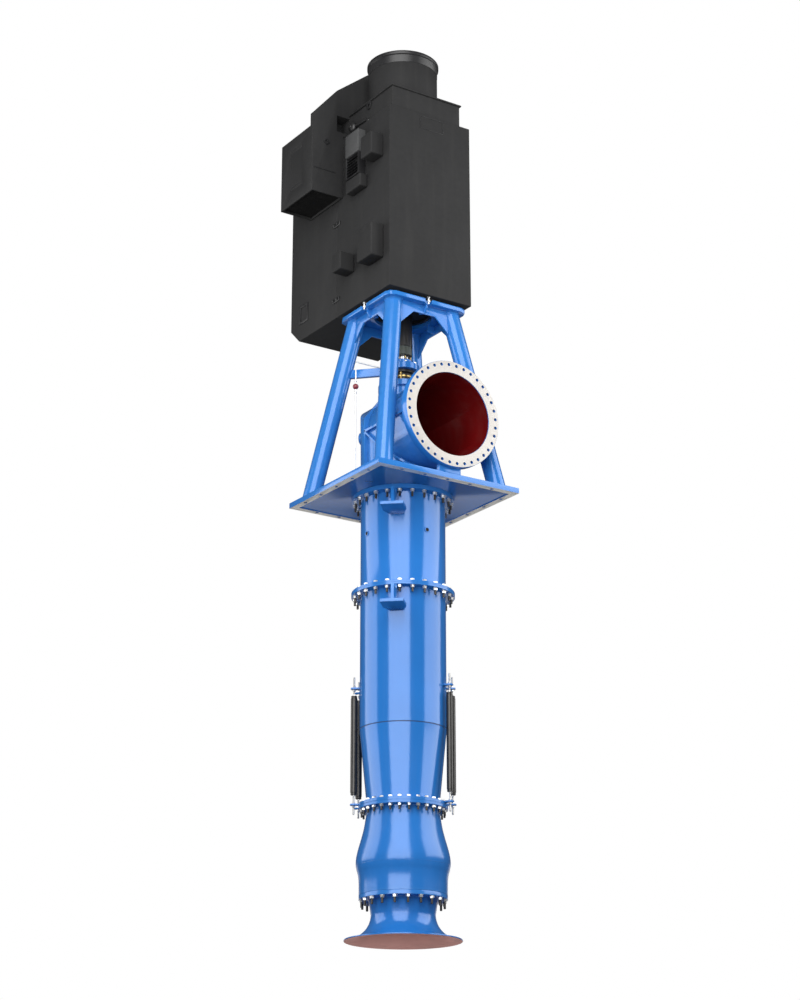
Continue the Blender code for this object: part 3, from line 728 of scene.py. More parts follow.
# The lighter edge colours below stand for rubbed paint and a painted edge highlight.
BLUE = Finish("gloss_blue", (0.020, 0.165, 0.52), rubbed_lit_edge=(0.08, 0.26, 0.58), roughness=0.15, metallic=0.07,
              specular=0.57, change=0.05, edge_rub_and_highlight=0.5, dustiness=0.06)
CAST_BLUE = CastFinish("gloss_blue_casting", (0.020, 0.165, 0.52), rubbed_lit_edge=(0.08, 0.26, 0.58), roughness=0.18,
                       metallic=0.07, specular=0.57, change=0.06, edge_rub_and_highlight=0.5, dustiness=0.06, bump=0.08)
SEAT = TurnedFinish("machined_seat", (0.90, 0.87, 0.80), roughness=0.35, metallic=0.5, change=0.08, pitch=25.0,
                    bump=0.05, edge_rub_and_highlight=0.0, dustiness=0.15)
FACE = TurnedFinish("flange_facing", (0.50, 0.475, 0.445), roughness=0.36, metallic=0.15, change=0.05,
                    centre=(0.0, 0.0, 0.80), turn=(math.pi / 2, 0.0, 0.0), pitch=42.0, bump=0.25, edge_rub_and_highlight=0.0,
                    dustiness=0.10)
LINING = Finish("red_lining", (0.11, 0.0015, 0.002), rubbed_lit_edge=(0.20, 0.01, 0.01), roughness=0.34, coat=0.1, change=0.15,
                grain=26.0, bump=0.10, edge_rub_and_highlight=0.1, dustiness=0.10)
PRIMER = Finish("red_primer", (0.62, 0.30, 0.27), rubbed_lit_edge=(0.40, 0.22, 0.18), roughness=0.55, change=0.12, grain=40.0,
                bump=0.08, edge_rub_and_highlight=0.1, dustiness=0.15)
MOTOR_GREY = Finish("motor_grey", (0.0215, 0.0215, 0.022), rubbed_lit_edge=(0.08, 0.08, 0.08), roughness=0.62, specular=0.12,
                    change=0.08, grain=130.0, bump=0.10, edge_rub_and_highlight=0.4, dustiness=0.03)
BOX_GREY = Finish("box_light_grey", (0.060, 0.061, 0.062), rubbed_lit_edge=(0.12, 0.12, 0.12), roughness=0.55, specular=0.2,
                  change=0.08, grain=130.0, bump=0.08, edge_rub_and_highlight=0.4, dustiness=0.03)
MOTOR_BLACK = Finish("motor_black", (0.012, 0.012, 0.013), rubbed_lit_edge=(0.05, 0.05, 0.05), roughness=0.38, change=0.10,
                     grain=90.0, bump=0.06, edge_rub_and_highlight=0.3, dustiness=0.05)
ZINC = Finish("zinc_plate", (0.78, 0.78, 0.76), roughness=0.30, metallic=0.85, change=0.10, grain=120.0, bump=0.05,
              edge_rub_and_highlight=0.0, dustiness=0.10)
BLACKED = Finish("blacked_steel", (0.022, 0.021, 0.020), rubbed_lit_edge=(0.12, 0.11, 0.10), roughness=0.38, metallic=0.35,
                 change=0.15, grain=140.0, bump=0.08, edge_rub_and_highlight=0.5, dustiness=0.05)
COLLAR = Finish("collar_green_grey", (0.045, 0.055, 0.045), rubbed_lit_edge=(0.12, 0.12, 0.10), roughness=0.45, metallic=0.2,
                change=0.15, grain=120.0, bump=0.08, edge_rub_and_highlight=0.4, dustiness=0.05)
BRIGHT = TurnedFinish("bright_steel", (0.62, 0.61, 0.59), roughness=0.26, metallic=1.0, change=0.05, pitch=70.0,
                      bump=0.06, edge_rub_and_highlight=0.0, dustiness=0.05)
SLEEVE = Finish("sleeve_black", (0.035, 0.034, 0.033), rubbed_lit_edge=(0.25, 0.24, 0.23), roughness=0.24, metallic=0.65,
                change=0.10, grain=80.0, bump=0.06, edge_rub_and_highlight=0.4, dustiness=0.05)
BRASS = Finish("brass", (0.62, 0.44, 0.16), roughness=0.30, metallic=1.0, change=0.08, grain=90.0, bump=0.05,
               edge_rub_and_highlight=0.0, dustiness=0.05)
MAROON = Finish("valve_maroon", (0.20, 0.02, 0.03), rubbed_lit_edge=(0.3, 0.2, 0.2), roughness=0.35, coat=0.3, change=0.1,
                grain=90.0, bump=0.06, edge_rub_and_highlight=0.4, dustiness=0.05)
STAINLESS = CastFinish("cast_stainless", (0.52, 0.51, 0.49), roughness=0.40, metallic=0.9, change=0.10, edge_rub_and_highlight=0.0,
                       dustiness=0.1)
# The screen's near-black colour is painted shade inside the hood.
SCREEN_SHADE = ScreenFinish("inlet_screen_painted_shade", (0.012, 0.012, 0.012), roughness=0.6, metallic=0.2, specular=0.1, change=0.1,
                      bump=0.6, edge_rub_and_highlight=0.0, dustiness=0.05)
# Near-black painted shade for recesses: the sunk ports' bottoms, the hood's inside and the walls of its slot grooves.
RECESS_SHADE = Finish("painted_recess_shade", (0.006, 0.006, 0.006), roughness=0.8, change=0.1, edge_rub_and_highlight=0.0, dustiness=0.0)
SEAM_BLUE = Finish("seam_blue", (0.006, 0.050, 0.17), rubbed_lit_edge=(0.02, 0.08, 0.2), roughness=0.45, change=0.25, grain=30.0,
                   bump=0.3, edge_rub_and_highlight=0.2, dustiness=0.05)


@dataclass
class Fasteners:
    """Hexagon bolts, nuts and washers, modelled once and copied."""

    flats: float = 0.046
    head: float = 0.019
    nut: float = 0.024
    washer_radius: float = 0.029
    washer: float = 0.005

    def hexagon(self, name: str, flats: float, low: float, high: float) -> bpy.types.Object:
        """A hexagon prism with rounded corners on its outer end.

        Args:
            name: The new object's name.
            flats: Its width across the flats.
            low: The height it starts at.
            high: The height of its chamfered end, above or below the start.

        Returns:
            The hexagon, round the Z axis.
        """
        radius = flats / math.sqrt(3)
        way = 1.0 if high > low else -1.0
        piece = bar(name, (0, 0, min(low, high)), (0, 0, max(low, high)), radius, 6)
        with bench(piece):
            pick(piece, lambda middle, normal: normal.z * way > 0.9)
            bpy.ops.mesh.inset(thickness=radius * 0.13, depth=radius * 0.08)
        return piece

    def bolt(self, name: str, low: float, high: float, tail: float, flats: float | None = None
             ) -> list[bpy.types.Object]:
        """A bolt through a joint: head and washer above, washer and nut below, and the stud's end.

        Args:
            name: The first part of the pieces' names.
            low: The joint's lower face.
            high: The joint's upper face.
            tail: How far the stud stands below the nut.
            flats: Another width across flats than the usual one.

        Returns:
            The bright parts first and the stud last, all round the Z axis.
        """
        flats = flats or self.flats
        scale = flats / self.flats
        washer, head, nut = self.washer * scale, self.head * scale, self.nut * scale
        ring = self.washer_radius * scale
        bright = [
            bar(name + "_washer", (0, 0, high), (0, 0, high + washer), ring, 20),
            self.hexagon(name + "_head", flats, high + washer, high + washer + head),
            bar(name + "_low_washer", (0, 0, low - washer), (0, 0, low), ring, 20),
            self.hexagon(name + "_nut", flats, low - washer, low - washer - nut),
        ]
        end = low - washer - nut
        stud = bar(name + "_stud", (0, 0, end - tail), (0, 0, end), flats * 0.31, 12)
        with bench(stud):
            pick(stud, lambda middle, normal: normal.z < -0.9)
            bpy.ops.mesh.inset(thickness=flats * 0.06, depth=flats * 0.06)
        return [joined(name + "_bright", bright), stud]

    def rings(self, name: str, radius: float, count: int, first: float, low: float, high: float, tail: float,
              flats: float | None = None) -> None:
        """Bolt up a flange: one ring of bright heads and nuts, one of dark stud ends.

        Args:
            name: The first part of the two pieces' names.
            radius: The bolt circle's radius.
            count: How many bolts there are.
            first: The first bolt's angle in degrees.
            low: The joint's lower face.
            high: The joint's upper face.
            tail: How far the studs stand below the nuts.
            flats: Another width across flats than the usual one.
        """
        bright, stud = self.bolt(name, low, high, tail, flats)
        for piece, label, finish, slot in ((bright, "_bolts", ZINC, "line_shaft"),
                                           (stud, "_stud_ends", BLACKED, "shaft_coupling")):
            piece.data.transform(Matrix.Translation((radius, 0, 0)))
            ring = ring_of(name + label, piece, count, first)
            settle(soften(ring, 0.0), finish, slot)


@dataclass
class SuctionEnd:
    """The flared bell, the bulged bowl above it, its guide vanes and the impeller."""

    joint: float = -4.835
    throat: tuple[float, float] = (0.378, -5.06)
    rim: tuple[float, float] = (0.689, -5.36)
    wall: float = 0.018
    lip: float = 0.014
    curve_steps: int = 22
    bowl_top: float = -3.802
    bowl_flange: tuple[float, float] = (0.528, 0.037)
    neck: float = 0.432
    side: tuple[tuple[float, float], ...] = (
        (0.440, -3.93), (0.463, -4.066), (0.493, -4.183), (0.527, -4.301), (0.549, -4.400), (0.553, -4.476),
        (0.544, -4.540), (0.528, -4.600), (0.519, -4.690), (0.518, -4.835))
    fasteners: Fasteners = field(default_factory=Fasteners)

    def bell(self) -> bpy.types.Object:
        """The suction bell, with its primed inside and rolled rim."""
        (throat_r, throat_z), (rim_r, rim_z) = self.throat, self.rim
        top = self.joint - 0.0003
        low = top - 0.05
        outer = [(0.518, top - 0.004), (0.514, top - 0.004), (0.518, top - 0.008), (0.518, low), (0.424, low),
                 (0.408, low - 0.006), (0.400, low - 0.020), (0.396, low - 0.05)]
        inner = []
        for k in range(self.curve_steps + 1):
            lean = 0.5 * math.pi * k / self.curve_steps
            drop, spread = math.sin(lean), 1 - math.cos(lean)
            outer.append((throat_r + (rim_r - throat_r) * spread, throat_z + (rim_z - throat_z + self.lip) * drop))
            inner.append((throat_r - self.wall + (rim_r - throat_r + self.wall) * spread,
                          throat_z + (rim_z - throat_z) * drop))
        outer[-1] = (rim_r - 0.003, rim_z + self.lip)
        rim = [(rim_r, rim_z + self.lip * 0.6), (rim_r, rim_z + self.lip * 0.3), (rim_r - 0.003, rim_z)]
        outline = [(0.514, top)] + outer[2:] + rim + inner[-2::-1] + [(0.375, low - 0.03), (0.46, top)]
        piece = soften(turned("suction_bell_flared", outline), 0.0)
        coat(piece, CAST_BLUE, [(PRIMER, lambda middle, normal: self.is_inside(middle, normal))])
        return settle(piece, CAST_BLUE, "suction_bell", ["suction_bell"])

    def is_inside(self, middle: Vector, normal: Vector) -> bool:
        """Whether a face of the bell looks at the water."""
        outwards = Vector((middle.x, middle.y, 0.0)).normalized()
        inward = normal.dot(outwards) < -0.05 or (normal.z < -0.55 and middle.z < self.throat[1] - 0.02)
        return inward and Vector((middle.x, middle.y)).length < self.rim[0] - 0.002 and middle.z < self.joint - 0.06

    def bowl(self) -> bpy.types.Object:
        """The pump bowl: smooth curves through the CAD's radii."""
        flange_r, flange_t = self.bowl_flange
        top = self.bowl_top - 0.0003
        curve = smooth_line([(self.neck, top - flange_t - 0.02), *self.side], 4)
        outer = [(flange_r - 0.003, top), (flange_r, top - 0.003), (flange_r, top - flange_t + 0.003),
                 (flange_r - 0.003, top - flange_t), (self.neck + 0.012, top - flange_t),
                 (self.neck + 0.003, top - flange_t - 0.005), *curve]
        inner = [(r - 0.020, z) for r, z in reversed(curve)] + [(self.neck - 0.020, top)]
        piece = soften(turned("bowl_casing_cast", outer + inner), 0.0)
        return settle(piece, CAST_BLUE, "bowl_casing", ["bowl_casing"])

    def belly_seam(self) -> bpy.types.Object:
        """The faint parting line round the bowl's belly."""
        outline = [(0.5500, -4.497), (0.5524, -4.4985), (0.5524, -4.5015), (0.5490, -4.503), (0.540, -4.50)]
        return settle(soften(turned("bowl_parting_line", outline), 0.0), CAST_BLUE, "bowl_casing")

    def inside(self) -> None:
        """The guide vanes and the impeller, kept in their CAD shape with softened edges."""
        vanes = soften(copy_node("bowl_diffuser_vanes", "bowl_diffuser"), 0.002)
        settle(vanes, CAST_BLUE, "bowl_diffuser", ["bowl_diffuser"])
        wheel = soften(copy_node("impeller_wheel", "impeller"), 0.0015)
        settle(wheel, STAINLESS, "impeller", ["impeller"], TURNING)

    def build(self) -> None:
        """Build the whole suction end."""
        self.bell()
        self.bowl()
        self.belly_seam()
        self.inside()
        self.fasteners.rings("bell_joint", 0.485, 20, 9.0, -4.8853, -4.87, 0.062)


def smooth_line(points: Profile, parts: int) -> list[tuple[float, float]]:
    """A smooth line through points of an outline, by Catmull-Rom pieces.

    Args:
        points: The points that the line passes.
        parts: How many short lines lie between two of them.

    Returns:
        The finer list of points.
    """
    spread = [Vector(p) for p in points]
    ends = [2 * spread[0] - spread[1], *spread, 2 * spread[-1] - spread[-2]]
    line: list[tuple[float, float]] = []
    for a, b, c, d in zip(ends, ends[1:], ends[2:], ends[3:]):
        for k in range(parts):
            t = k / parts
            p = 0.5 * (2 * b + (c - a) * t + (2 * a - 5 * b + 4 * c - d) * t ** 2 + (3 * b - a - 3 * c + d) * t ** 3)
            line.append((p.x, p.y))
    line.append(tuple(points[-1]))
    return line


@dataclass
class Column:
    """The two column pieces between the bowl and the base plate, with lugs and flange bolts."""

    radius: float = 0.518
    wall: float = 0.016
    flange: tuple[float, float] = (0.628, 0.027)
    joint: float = -1.2195
    seam: float = -2.88
    cone: float = 0.432
    low_joint: float = -3.802
    top: float = 0.0117
    lug_angle: float = 228.0
    fasteners: Fasteners = field(default_factory=Fasteners)

    def upper(self) -> bpy.types.Object:
        """The short piece under the plate; its two small ports are made by ports()."""
        reach, thick = self.flange
        under, inside = 0.012 - 0.055, self.radius - self.wall
        low = self.joint
        outline = [(reach, self.top), (reach, under), (self.radius + 0.010, under),
                   (self.radius + 0.003, under - 0.003), (self.radius, under - 0.010),
                   (self.radius, low + thick + 0.010),
                   (self.radius + 0.003, low + thick + 0.003), (self.radius + 0.010, low + thick),
                   (reach - 0.003, low + thick), (reach, low + thick - 0.003), (reach, low + 0.001),
                   (reach - 0.001, low), (inside, low), (inside, self.top)]
        piece = soften(turned("upper_column_rolled", outline), 0.0)
        return settle(piece, BLUE, "upper_column", ["upper_column"])

    def lower(self) -> bpy.types.Object:
        """The long piece, with its taper and weld seam."""
        reach, thick = self.flange
        flange_r, flange_t = 0.528, 0.037
        high, low = self.joint - 0.0003, self.low_joint
        inside, low_inside = self.radius - self.wall, self.cone - 0.020
        step = low + flange_t
        outline = [(reach - 0.001, high), (reach, high - 0.001), (reach, high - thick + 0.003),
                   (reach - 0.003, high - thick), (self.radius + 0.010, high - thick),
                   (self.radius + 0.003, high - thick - 0.003), (self.radius, high - thick - 0.010),
                   (self.radius, self.seam + 0.007), (self.radius - 0.0028, self.seam + 0.004),
                   (self.radius - 0.0028, self.seam - 0.004), (self.radius - 0.0006, self.seam - 0.007),
                   (self.cone, step + 0.010), (self.cone + 0.003, step + 0.003), (self.cone + 0.010, step),
                   (flange_r - 0.003, step), (flange_r, step - 0.003), (flange_r, low + 0.001),
                   (flange_r - 0.001, low), (low_inside, low), (low_inside, step), (inside, self.seam),
                   (inside, high)]
        piece = soften(turned("lower_column_rolled", outline), 0.0)
        coat(piece, BLUE, [(SEAM_BLUE, self.is_seam)])
        return settle(piece, BLUE, "lower_column", ["lower_column"])

    def is_seam(self, middle: Vector, normal: Vector) -> bool:
        """Whether a face lies in the weld seam's groove on the outside."""
        outside = Vector((middle.x, middle.y)).length > self.radius - self.wall / 2
        return outside and abs(middle.z - self.seam) < 0.0075

    def ports(self) -> bpy.types.Object:
        """The two small sunk ports in the upper column's front, with painted shade in their sunk bottoms."""
        plugs = []
        for angle in (180.0, 270.0):
            collar = turned("port_collar", [(0.0, 0.002), (0.0225, 0.002), (0.0235, 0.010), (0.0315, 0.010),
                                            (0.0335, 0.007), (0.0335, -0.010), (0.0, -0.010)], 32, closed=False)
            # The port's sunk bottom and inner wall are painted near-black as painted shade.
            coat(collar, BLUE, [(RECESS_SHADE, lambda middle, normal: middle.z > 0 and middle.xy.length < 0.0233)])
            collar.data.transform(Matrix.Rotation(math.pi / 2, 4, "Y"))
            collar.data.transform(Matrix.Translation((self.radius, 0, -0.5125)))
            collar.data.transform(turn_z(angle))
            plugs.append(collar)
        return settle(soften(joined("column_ports", plugs), 0.0), BLUE, "upper_column")

    def lugs(self) -> None:
        """The four guide lugs, in their CAD shape with softened edges."""
        for level in ("upper", "lower"):
            for side in ("front", "rear"):
                node = "column_lug_%s_%s" % (level, side)
                settle(soften(copy_node(node + "_welded", node), 0.003), BLUE, node, [node])

    def build(self) -> None:
        """Build the column."""
        self.upper()
        self.lower()
        self.ports()
        self.lugs()
        reach, thick = self.flange
        bolts = self.fasteners
        bolts.rings("mid_joint", 0.585, 24, 7.5, self.joint - 0.0003 - thick, self.joint + thick, 0.050)
        bolts.rings("bowl_joint", 0.490, 28, 0.0, self.low_joint - 0.0373, self.low_joint + 0.037, 0.045, 0.041)
        bolts.rings("plate_joint", 0.585, 24, 7.5, -0.0433, -0.040, 0.058)


@dataclass
class TieRods:
    """The four sleeved rods beside the column's taper."""

    angles: tuple[float, ...] = (145.8, 122.0, 306.7, 327.0)
    radius: float = 0.584
    sleeve: tuple[float, float, float] = (-3.656, -2.458, 0.040)
    rod: tuple[float, float, float] = (-3.886, -2.230, 0.012)
    lugs: tuple[tuple[float, float], ...] = ((-2.370, 0.518), (-3.769, 0.528))
    lug_thick: float = 0.018
    lug_half: float = 0.0415

    def one(self, name: str, node: str, angle: float) -> None:
        """Build one rod: its sleeve, its threaded core with nuts and its two lugs.

        Args:
            name: The first part of the pieces' names.
            node: The CAD node that they stand for.
            angle: Where it stands round the pump's axis, in degrees.
        """
        low, high, reach = self.sleeve
        collar = 0.004
        outline = [(0.0, high), (reach - 0.010, high), (reach - 0.004, high - 0.004), (reach - 0.004, high - 0.03),
                   (reach, high - 0.034), (reach, low + 0.034), (reach - collar, low + 0.03),
                   (reach - collar, low + 0.004), (reach - 0.010, low), (0.0, low)]
        sleeve = turned(name + "_sleeve", outline, SMALL_ROUND, closed=False)
        rod_low, rod_high, rod_r = self.rod
        turns = 48
        core = [(0.0, rod_high), (rod_r - 0.003, rod_high)]
        core += [(rod_r - (0.0016 if k % 2 else 0.0), rod_high - 0.003 - 0.0045 * k) for k in range(turns)]
        core += [(rod_r, rod_high - 0.225), (rod_r, rod_low + 0.225)]
        core += [(rod_r - (0.0016 if k % 2 else 0.0), rod_low + 0.003 + 0.0045 * (turns - k)) for k in range(turns)]
        core += [(rod_r - 0.003, rod_low), (0.0, rod_low)]
        parts = [turned(name + "_core", core, 16, closed=False)]
        maker = Fasteners()
        for height, _ in self.lugs:
            for way in (1.0, -1.0):
                face = height + way * self.lug_thick / 2
                parts.append(maker.hexagon(name + "_nut", 0.036, face, face + way * 0.019))
        bright = joined(name + "_threaded", parts)
        lugs = []
        for height, root in self.lugs:
            half, thick = self.lug_half, self.lug_thick / 2
            reach_out = self.radius + self.lug_half
            outline3 = [(root + 0.0003, -half, height - thick), (reach_out - 0.02, -half, height - thick),
                        (reach_out, -half + 0.02, height - thick), (reach_out, half - 0.02, height - thick),
                        (reach_out - 0.02, half, height - thick), (root + 0.0003, half, height - thick)]
            lugs.append(slab(name + "_lug", outline3, (0, 0, 2 * thick)))
        lug = joined(name + "_lugs", lugs)
        for piece in (sleeve, bright):
            piece.data.transform(Matrix.Translation((self.radius, 0, 0)))
        for piece in (sleeve, bright, lug):
            piece.data.transform(turn_z(angle))
        settle(soften(sleeve, 0.0), SLEEVE, node, [node])
        settle(soften(bright, 0.0), ZINC, "line_shaft")
        settle(soften(lug, 0.002), BLUE, "lower_column")

    def build(self) -> None:
        """Build the four rods."""
        for k, angle in enumerate(self.angles, 1):
            self.one("tie_rod_%d" % k, "tie_rod_%d" % k, angle)


@dataclass
class BasePlate:
    """The square plate with its bare seat, bolt holes and the column's bore."""

    half: float = 1.02
    top: float = 0.068
    seat: float = 0.09
    step: float = 0.012
    bore: float = 0.502
    hole: float = 0.021
    along_x: tuple[float, ...] = (-0.65, -0.325, 0.0, 0.325, 0.65)
    along_y: tuple[float, ...] = (-0.72, -0.36, 0.0, 0.36, 0.72)

    def holes(self) -> bpy.types.Object:
        """The drills for every bolt hole of the seat, as one tool."""
        line = self.half - self.seat / 2 - 0.012
        places = [(x, side * line) for x in self.along_x for side in (-1, 1)]
        places += [(side * line, y) for y in self.along_y for side in (-1, 1)]
        return joined("plate_drills", [bar("drill", (x, y, -0.1), (x, y, 0.2), self.hole, 24) for x, y in places])

    def build(self) -> None:
        """Build the plate."""
        half, inner = self.half, self.half - self.seat
        plate = block("base_plate_machined", (-half, -half, 0), (half, half, self.top))
        cut(plate, block("recess", (-inner, -inner, -0.1), (inner, inner, self.step)))
        cut(plate, bar("bore", (0, 0, -0.2), (0, 0, 0.3), self.bore, ROUND))
        cut(plate, self.holes())
        soften(plate, 0.0025)
        coat(plate, BLUE, [(SEAT, lambda middle, normal: normal.z < -0.9 and middle.z < 0.001)])
        settle(plate, BLUE, "base_plate", ["base_plate"])


@dataclass
class DischargeHead:
    """The mitred elbow, its ribs, pedestal and boss, and the drilled discharge flange."""

    foot: float = 0.518
    mitre: float = 0.530
    mouth: float = 0.545
    level: float = 0.80
    wall: float = 0.016
    low: float = 0.0683
    face: float = -1.09
    rib_reach: float = 0.042
    rib_half: float = 0.014
    pedestal: float = 0.27
    pedestal_top: tuple[float, float] = (0.31, 1.50)
    shaft_hole: float = 0.082
    flange_radius: float = 0.673
    flange_thick: float = 0.105
    bolt_circle: float = 0.62865
    bolt_count: int = 36
    hole: float = 0.0205

    def elbow(self, name: str, grow: float, low: float, end: float) -> bpy.types.Object:
        """The mitred elbow as a solid: a circle extruded up to the mitre and out to the mouth.

        Args:
            name: The new object's name.
            grow: How much wider than the outside it is.
            low: The height of its foot.
            end: Where its mouth is along Y.

        Returns:
            The closed elbow.
        """
        foot, mitre, mouth = self.foot + grow, self.mitre + grow, self.mouth + grow
        deselect()
        bpy.ops.mesh.primitive_circle_add(vertices=ROUND, radius=foot, fill_type="NGON", location=(0, 0, low))
        piece = bpy.context.object
        piece.name = name
        set_in_place(piece)
        lean = Matrix(((mitre / foot, 0, 0, 0), (0, mitre / foot, 0, 0), (0, mitre / foot, 1, self.level - low),
                       (0, 0, 0, 1)))
        with bench(piece):
            bpy.ops.mesh.select_all(action="SELECT")
            for place in (
                lambda c: lean @ c,
                lambda c: Vector((c.x * mouth / mitre, end, self.level + (c.z - self.level) * mouth / mitre)),
            ):
                bpy.ops.mesh.extrude_region_move(TRANSFORM_OT_translate={"value": (0, 0, 0)})
                work = bmesh.from_edit_mesh(piece.data)
                for vertex in (v for v in work.verts if v.select):
                    vertex.co = place(vertex.co)
                bmesh.update_edit_mesh(piece.data)
            tidy_mesh()
        return piece

    def ribs(self) -> list[bpy.types.Object]:
        """The head's ribs and its pedestal, as solids to be joined to the elbow."""
        rib, half, back = self.mitre + self.rib_reach, self.rib_half, self.face + self.flange_thick + 0.0003
        shoulder = self.level + 0.17
        turns = [math.pi + math.pi * k / 72 for k in range(73)]
        throat = [(rib * math.cos(a), rib * math.sin(a), self.level - half) for a in turns]
        collar = slab("mitre_rib", throat, (0, 0, 2 * half))
        collar.data.transform(Matrix(((1, 0, 0, 0), (0, 1, 0, 0), (0, 1, 1, 0), (0, 0, 0, 1))))
        low, top = self.low, self.pedestal_top[1]
        cross = [(-rib, -half, low), (rib, -half, low), (rib, -half, shoulder), (self.pedestal, -half, 1.36),
                 (-self.pedestal, -half, 1.36), (-rib, -half, shoulder)]
        return [
            collar,
            slab("cross_rib", cross, (0, 2 * half, 0)),
            block("level_rib", (-rib, back, self.level - half), (rib, 0, self.level + half)),
            bar("pedestal", (0, 0, 1.0), (0, 0, top - 0.04), self.pedestal, 96),
            bar("pedestal_disc", (0, 0, top - 0.07), (0, 0, top), self.pedestal_top[0], 96),
        ]

    def casing(self) -> bpy.types.Object:
        """The elbow with its ribs, hollowed and lined."""
        head = self.elbow("discharge_head_mitred", 0.0, self.low, self.face + 0.012)
        head.data.materials.append(BLUE.material())
        for rib in self.ribs():
            cut(head, rib, "UNION", BLUE)
        cut(head, self.elbow("hollow", -self.wall, self.low - 0.2, self.face - 0.1), finish=LINING)
        cut(head, bar("shaft_hole", (0, 0, 1.0), (0, 0, 1.7), self.shaft_hole, 48), finish=BLUE)
        soften(head, 0.003, angle=40.0)
        return settle(head, BLUE, "discharge_head", ["discharge_head"])

    def flange(self) -> bpy.types.Object:
        """The discharge flange with all its bolt holes and its machined facing."""
        face, back = self.face, self.face + self.flange_thick
        reach = self.flange_radius
        outline = [(reach - 0.003, -face), (reach, -face - 0.003), (reach, -back + 0.003), (reach - 0.003, -back),
                   (self.mouth + 0.0003, -back), (self.mouth + 0.0003, -face - 0.012),
                   (self.mouth - 0.016, -face - 0.010), (self.mouth - 0.016, -face)]
        piece = turned("discharge_flange_drilled", outline)
        drill = bar("drill", (self.bolt_circle, 0, 0.9), (self.bolt_circle, 0, 1.2), self.hole, 28)
        cut(piece, ring_of("drills", drill, self.bolt_count, 90.0 - 5.0))
        piece.data.transform(Matrix.Translation((0, 0, self.level)) @ Matrix.Rotation(math.radians(90), 4, "X"))
        soften(piece, 0.0012, 1)
        coat(piece, BLUE, [(FACE, lambda middle, normal: normal.y < -0.9 and middle.y < face + 0.002)])
        return settle(piece, BLUE, "discharge_flange", ["discharge_flange"])

    def support(self) -> bpy.types.Object:
        """The block under the flange, in its CAD shape with softened edges."""
        piece = soften(copy_node("discharge_support_block", "discharge_support"), 0.003)
        return settle(piece, BLUE, "discharge_support", ["discharge_support"])

    def boss(self) -> bpy.types.Object:
        """The capped hand hole on the head's rear left."""
        outline = [(0.0, 0.050), (0.060, 0.050), (0.064, 0.046), (0.064, 0.040), (0.076, 0.040), (0.078, 0.038),
                   (0.078, -0.01), (0.0, -0.01)]
        cap = turned("head_boss_cap", outline, 64, closed=False)
        cap.data.transform(Matrix.Rotation(math.pi / 2, 4, "Y"))
        cap.data.transform(Matrix.Translation((self.foot, 0, 0.875)))
        cap.data.transform(turn_z(128.0))
        return settle(soften(cap, 0.0), BLUE, "discharge_head")

    def build(self) -> None:
        """Build the discharge head."""
        self.casing()
        self.flange()
        self.support()
        self.boss()


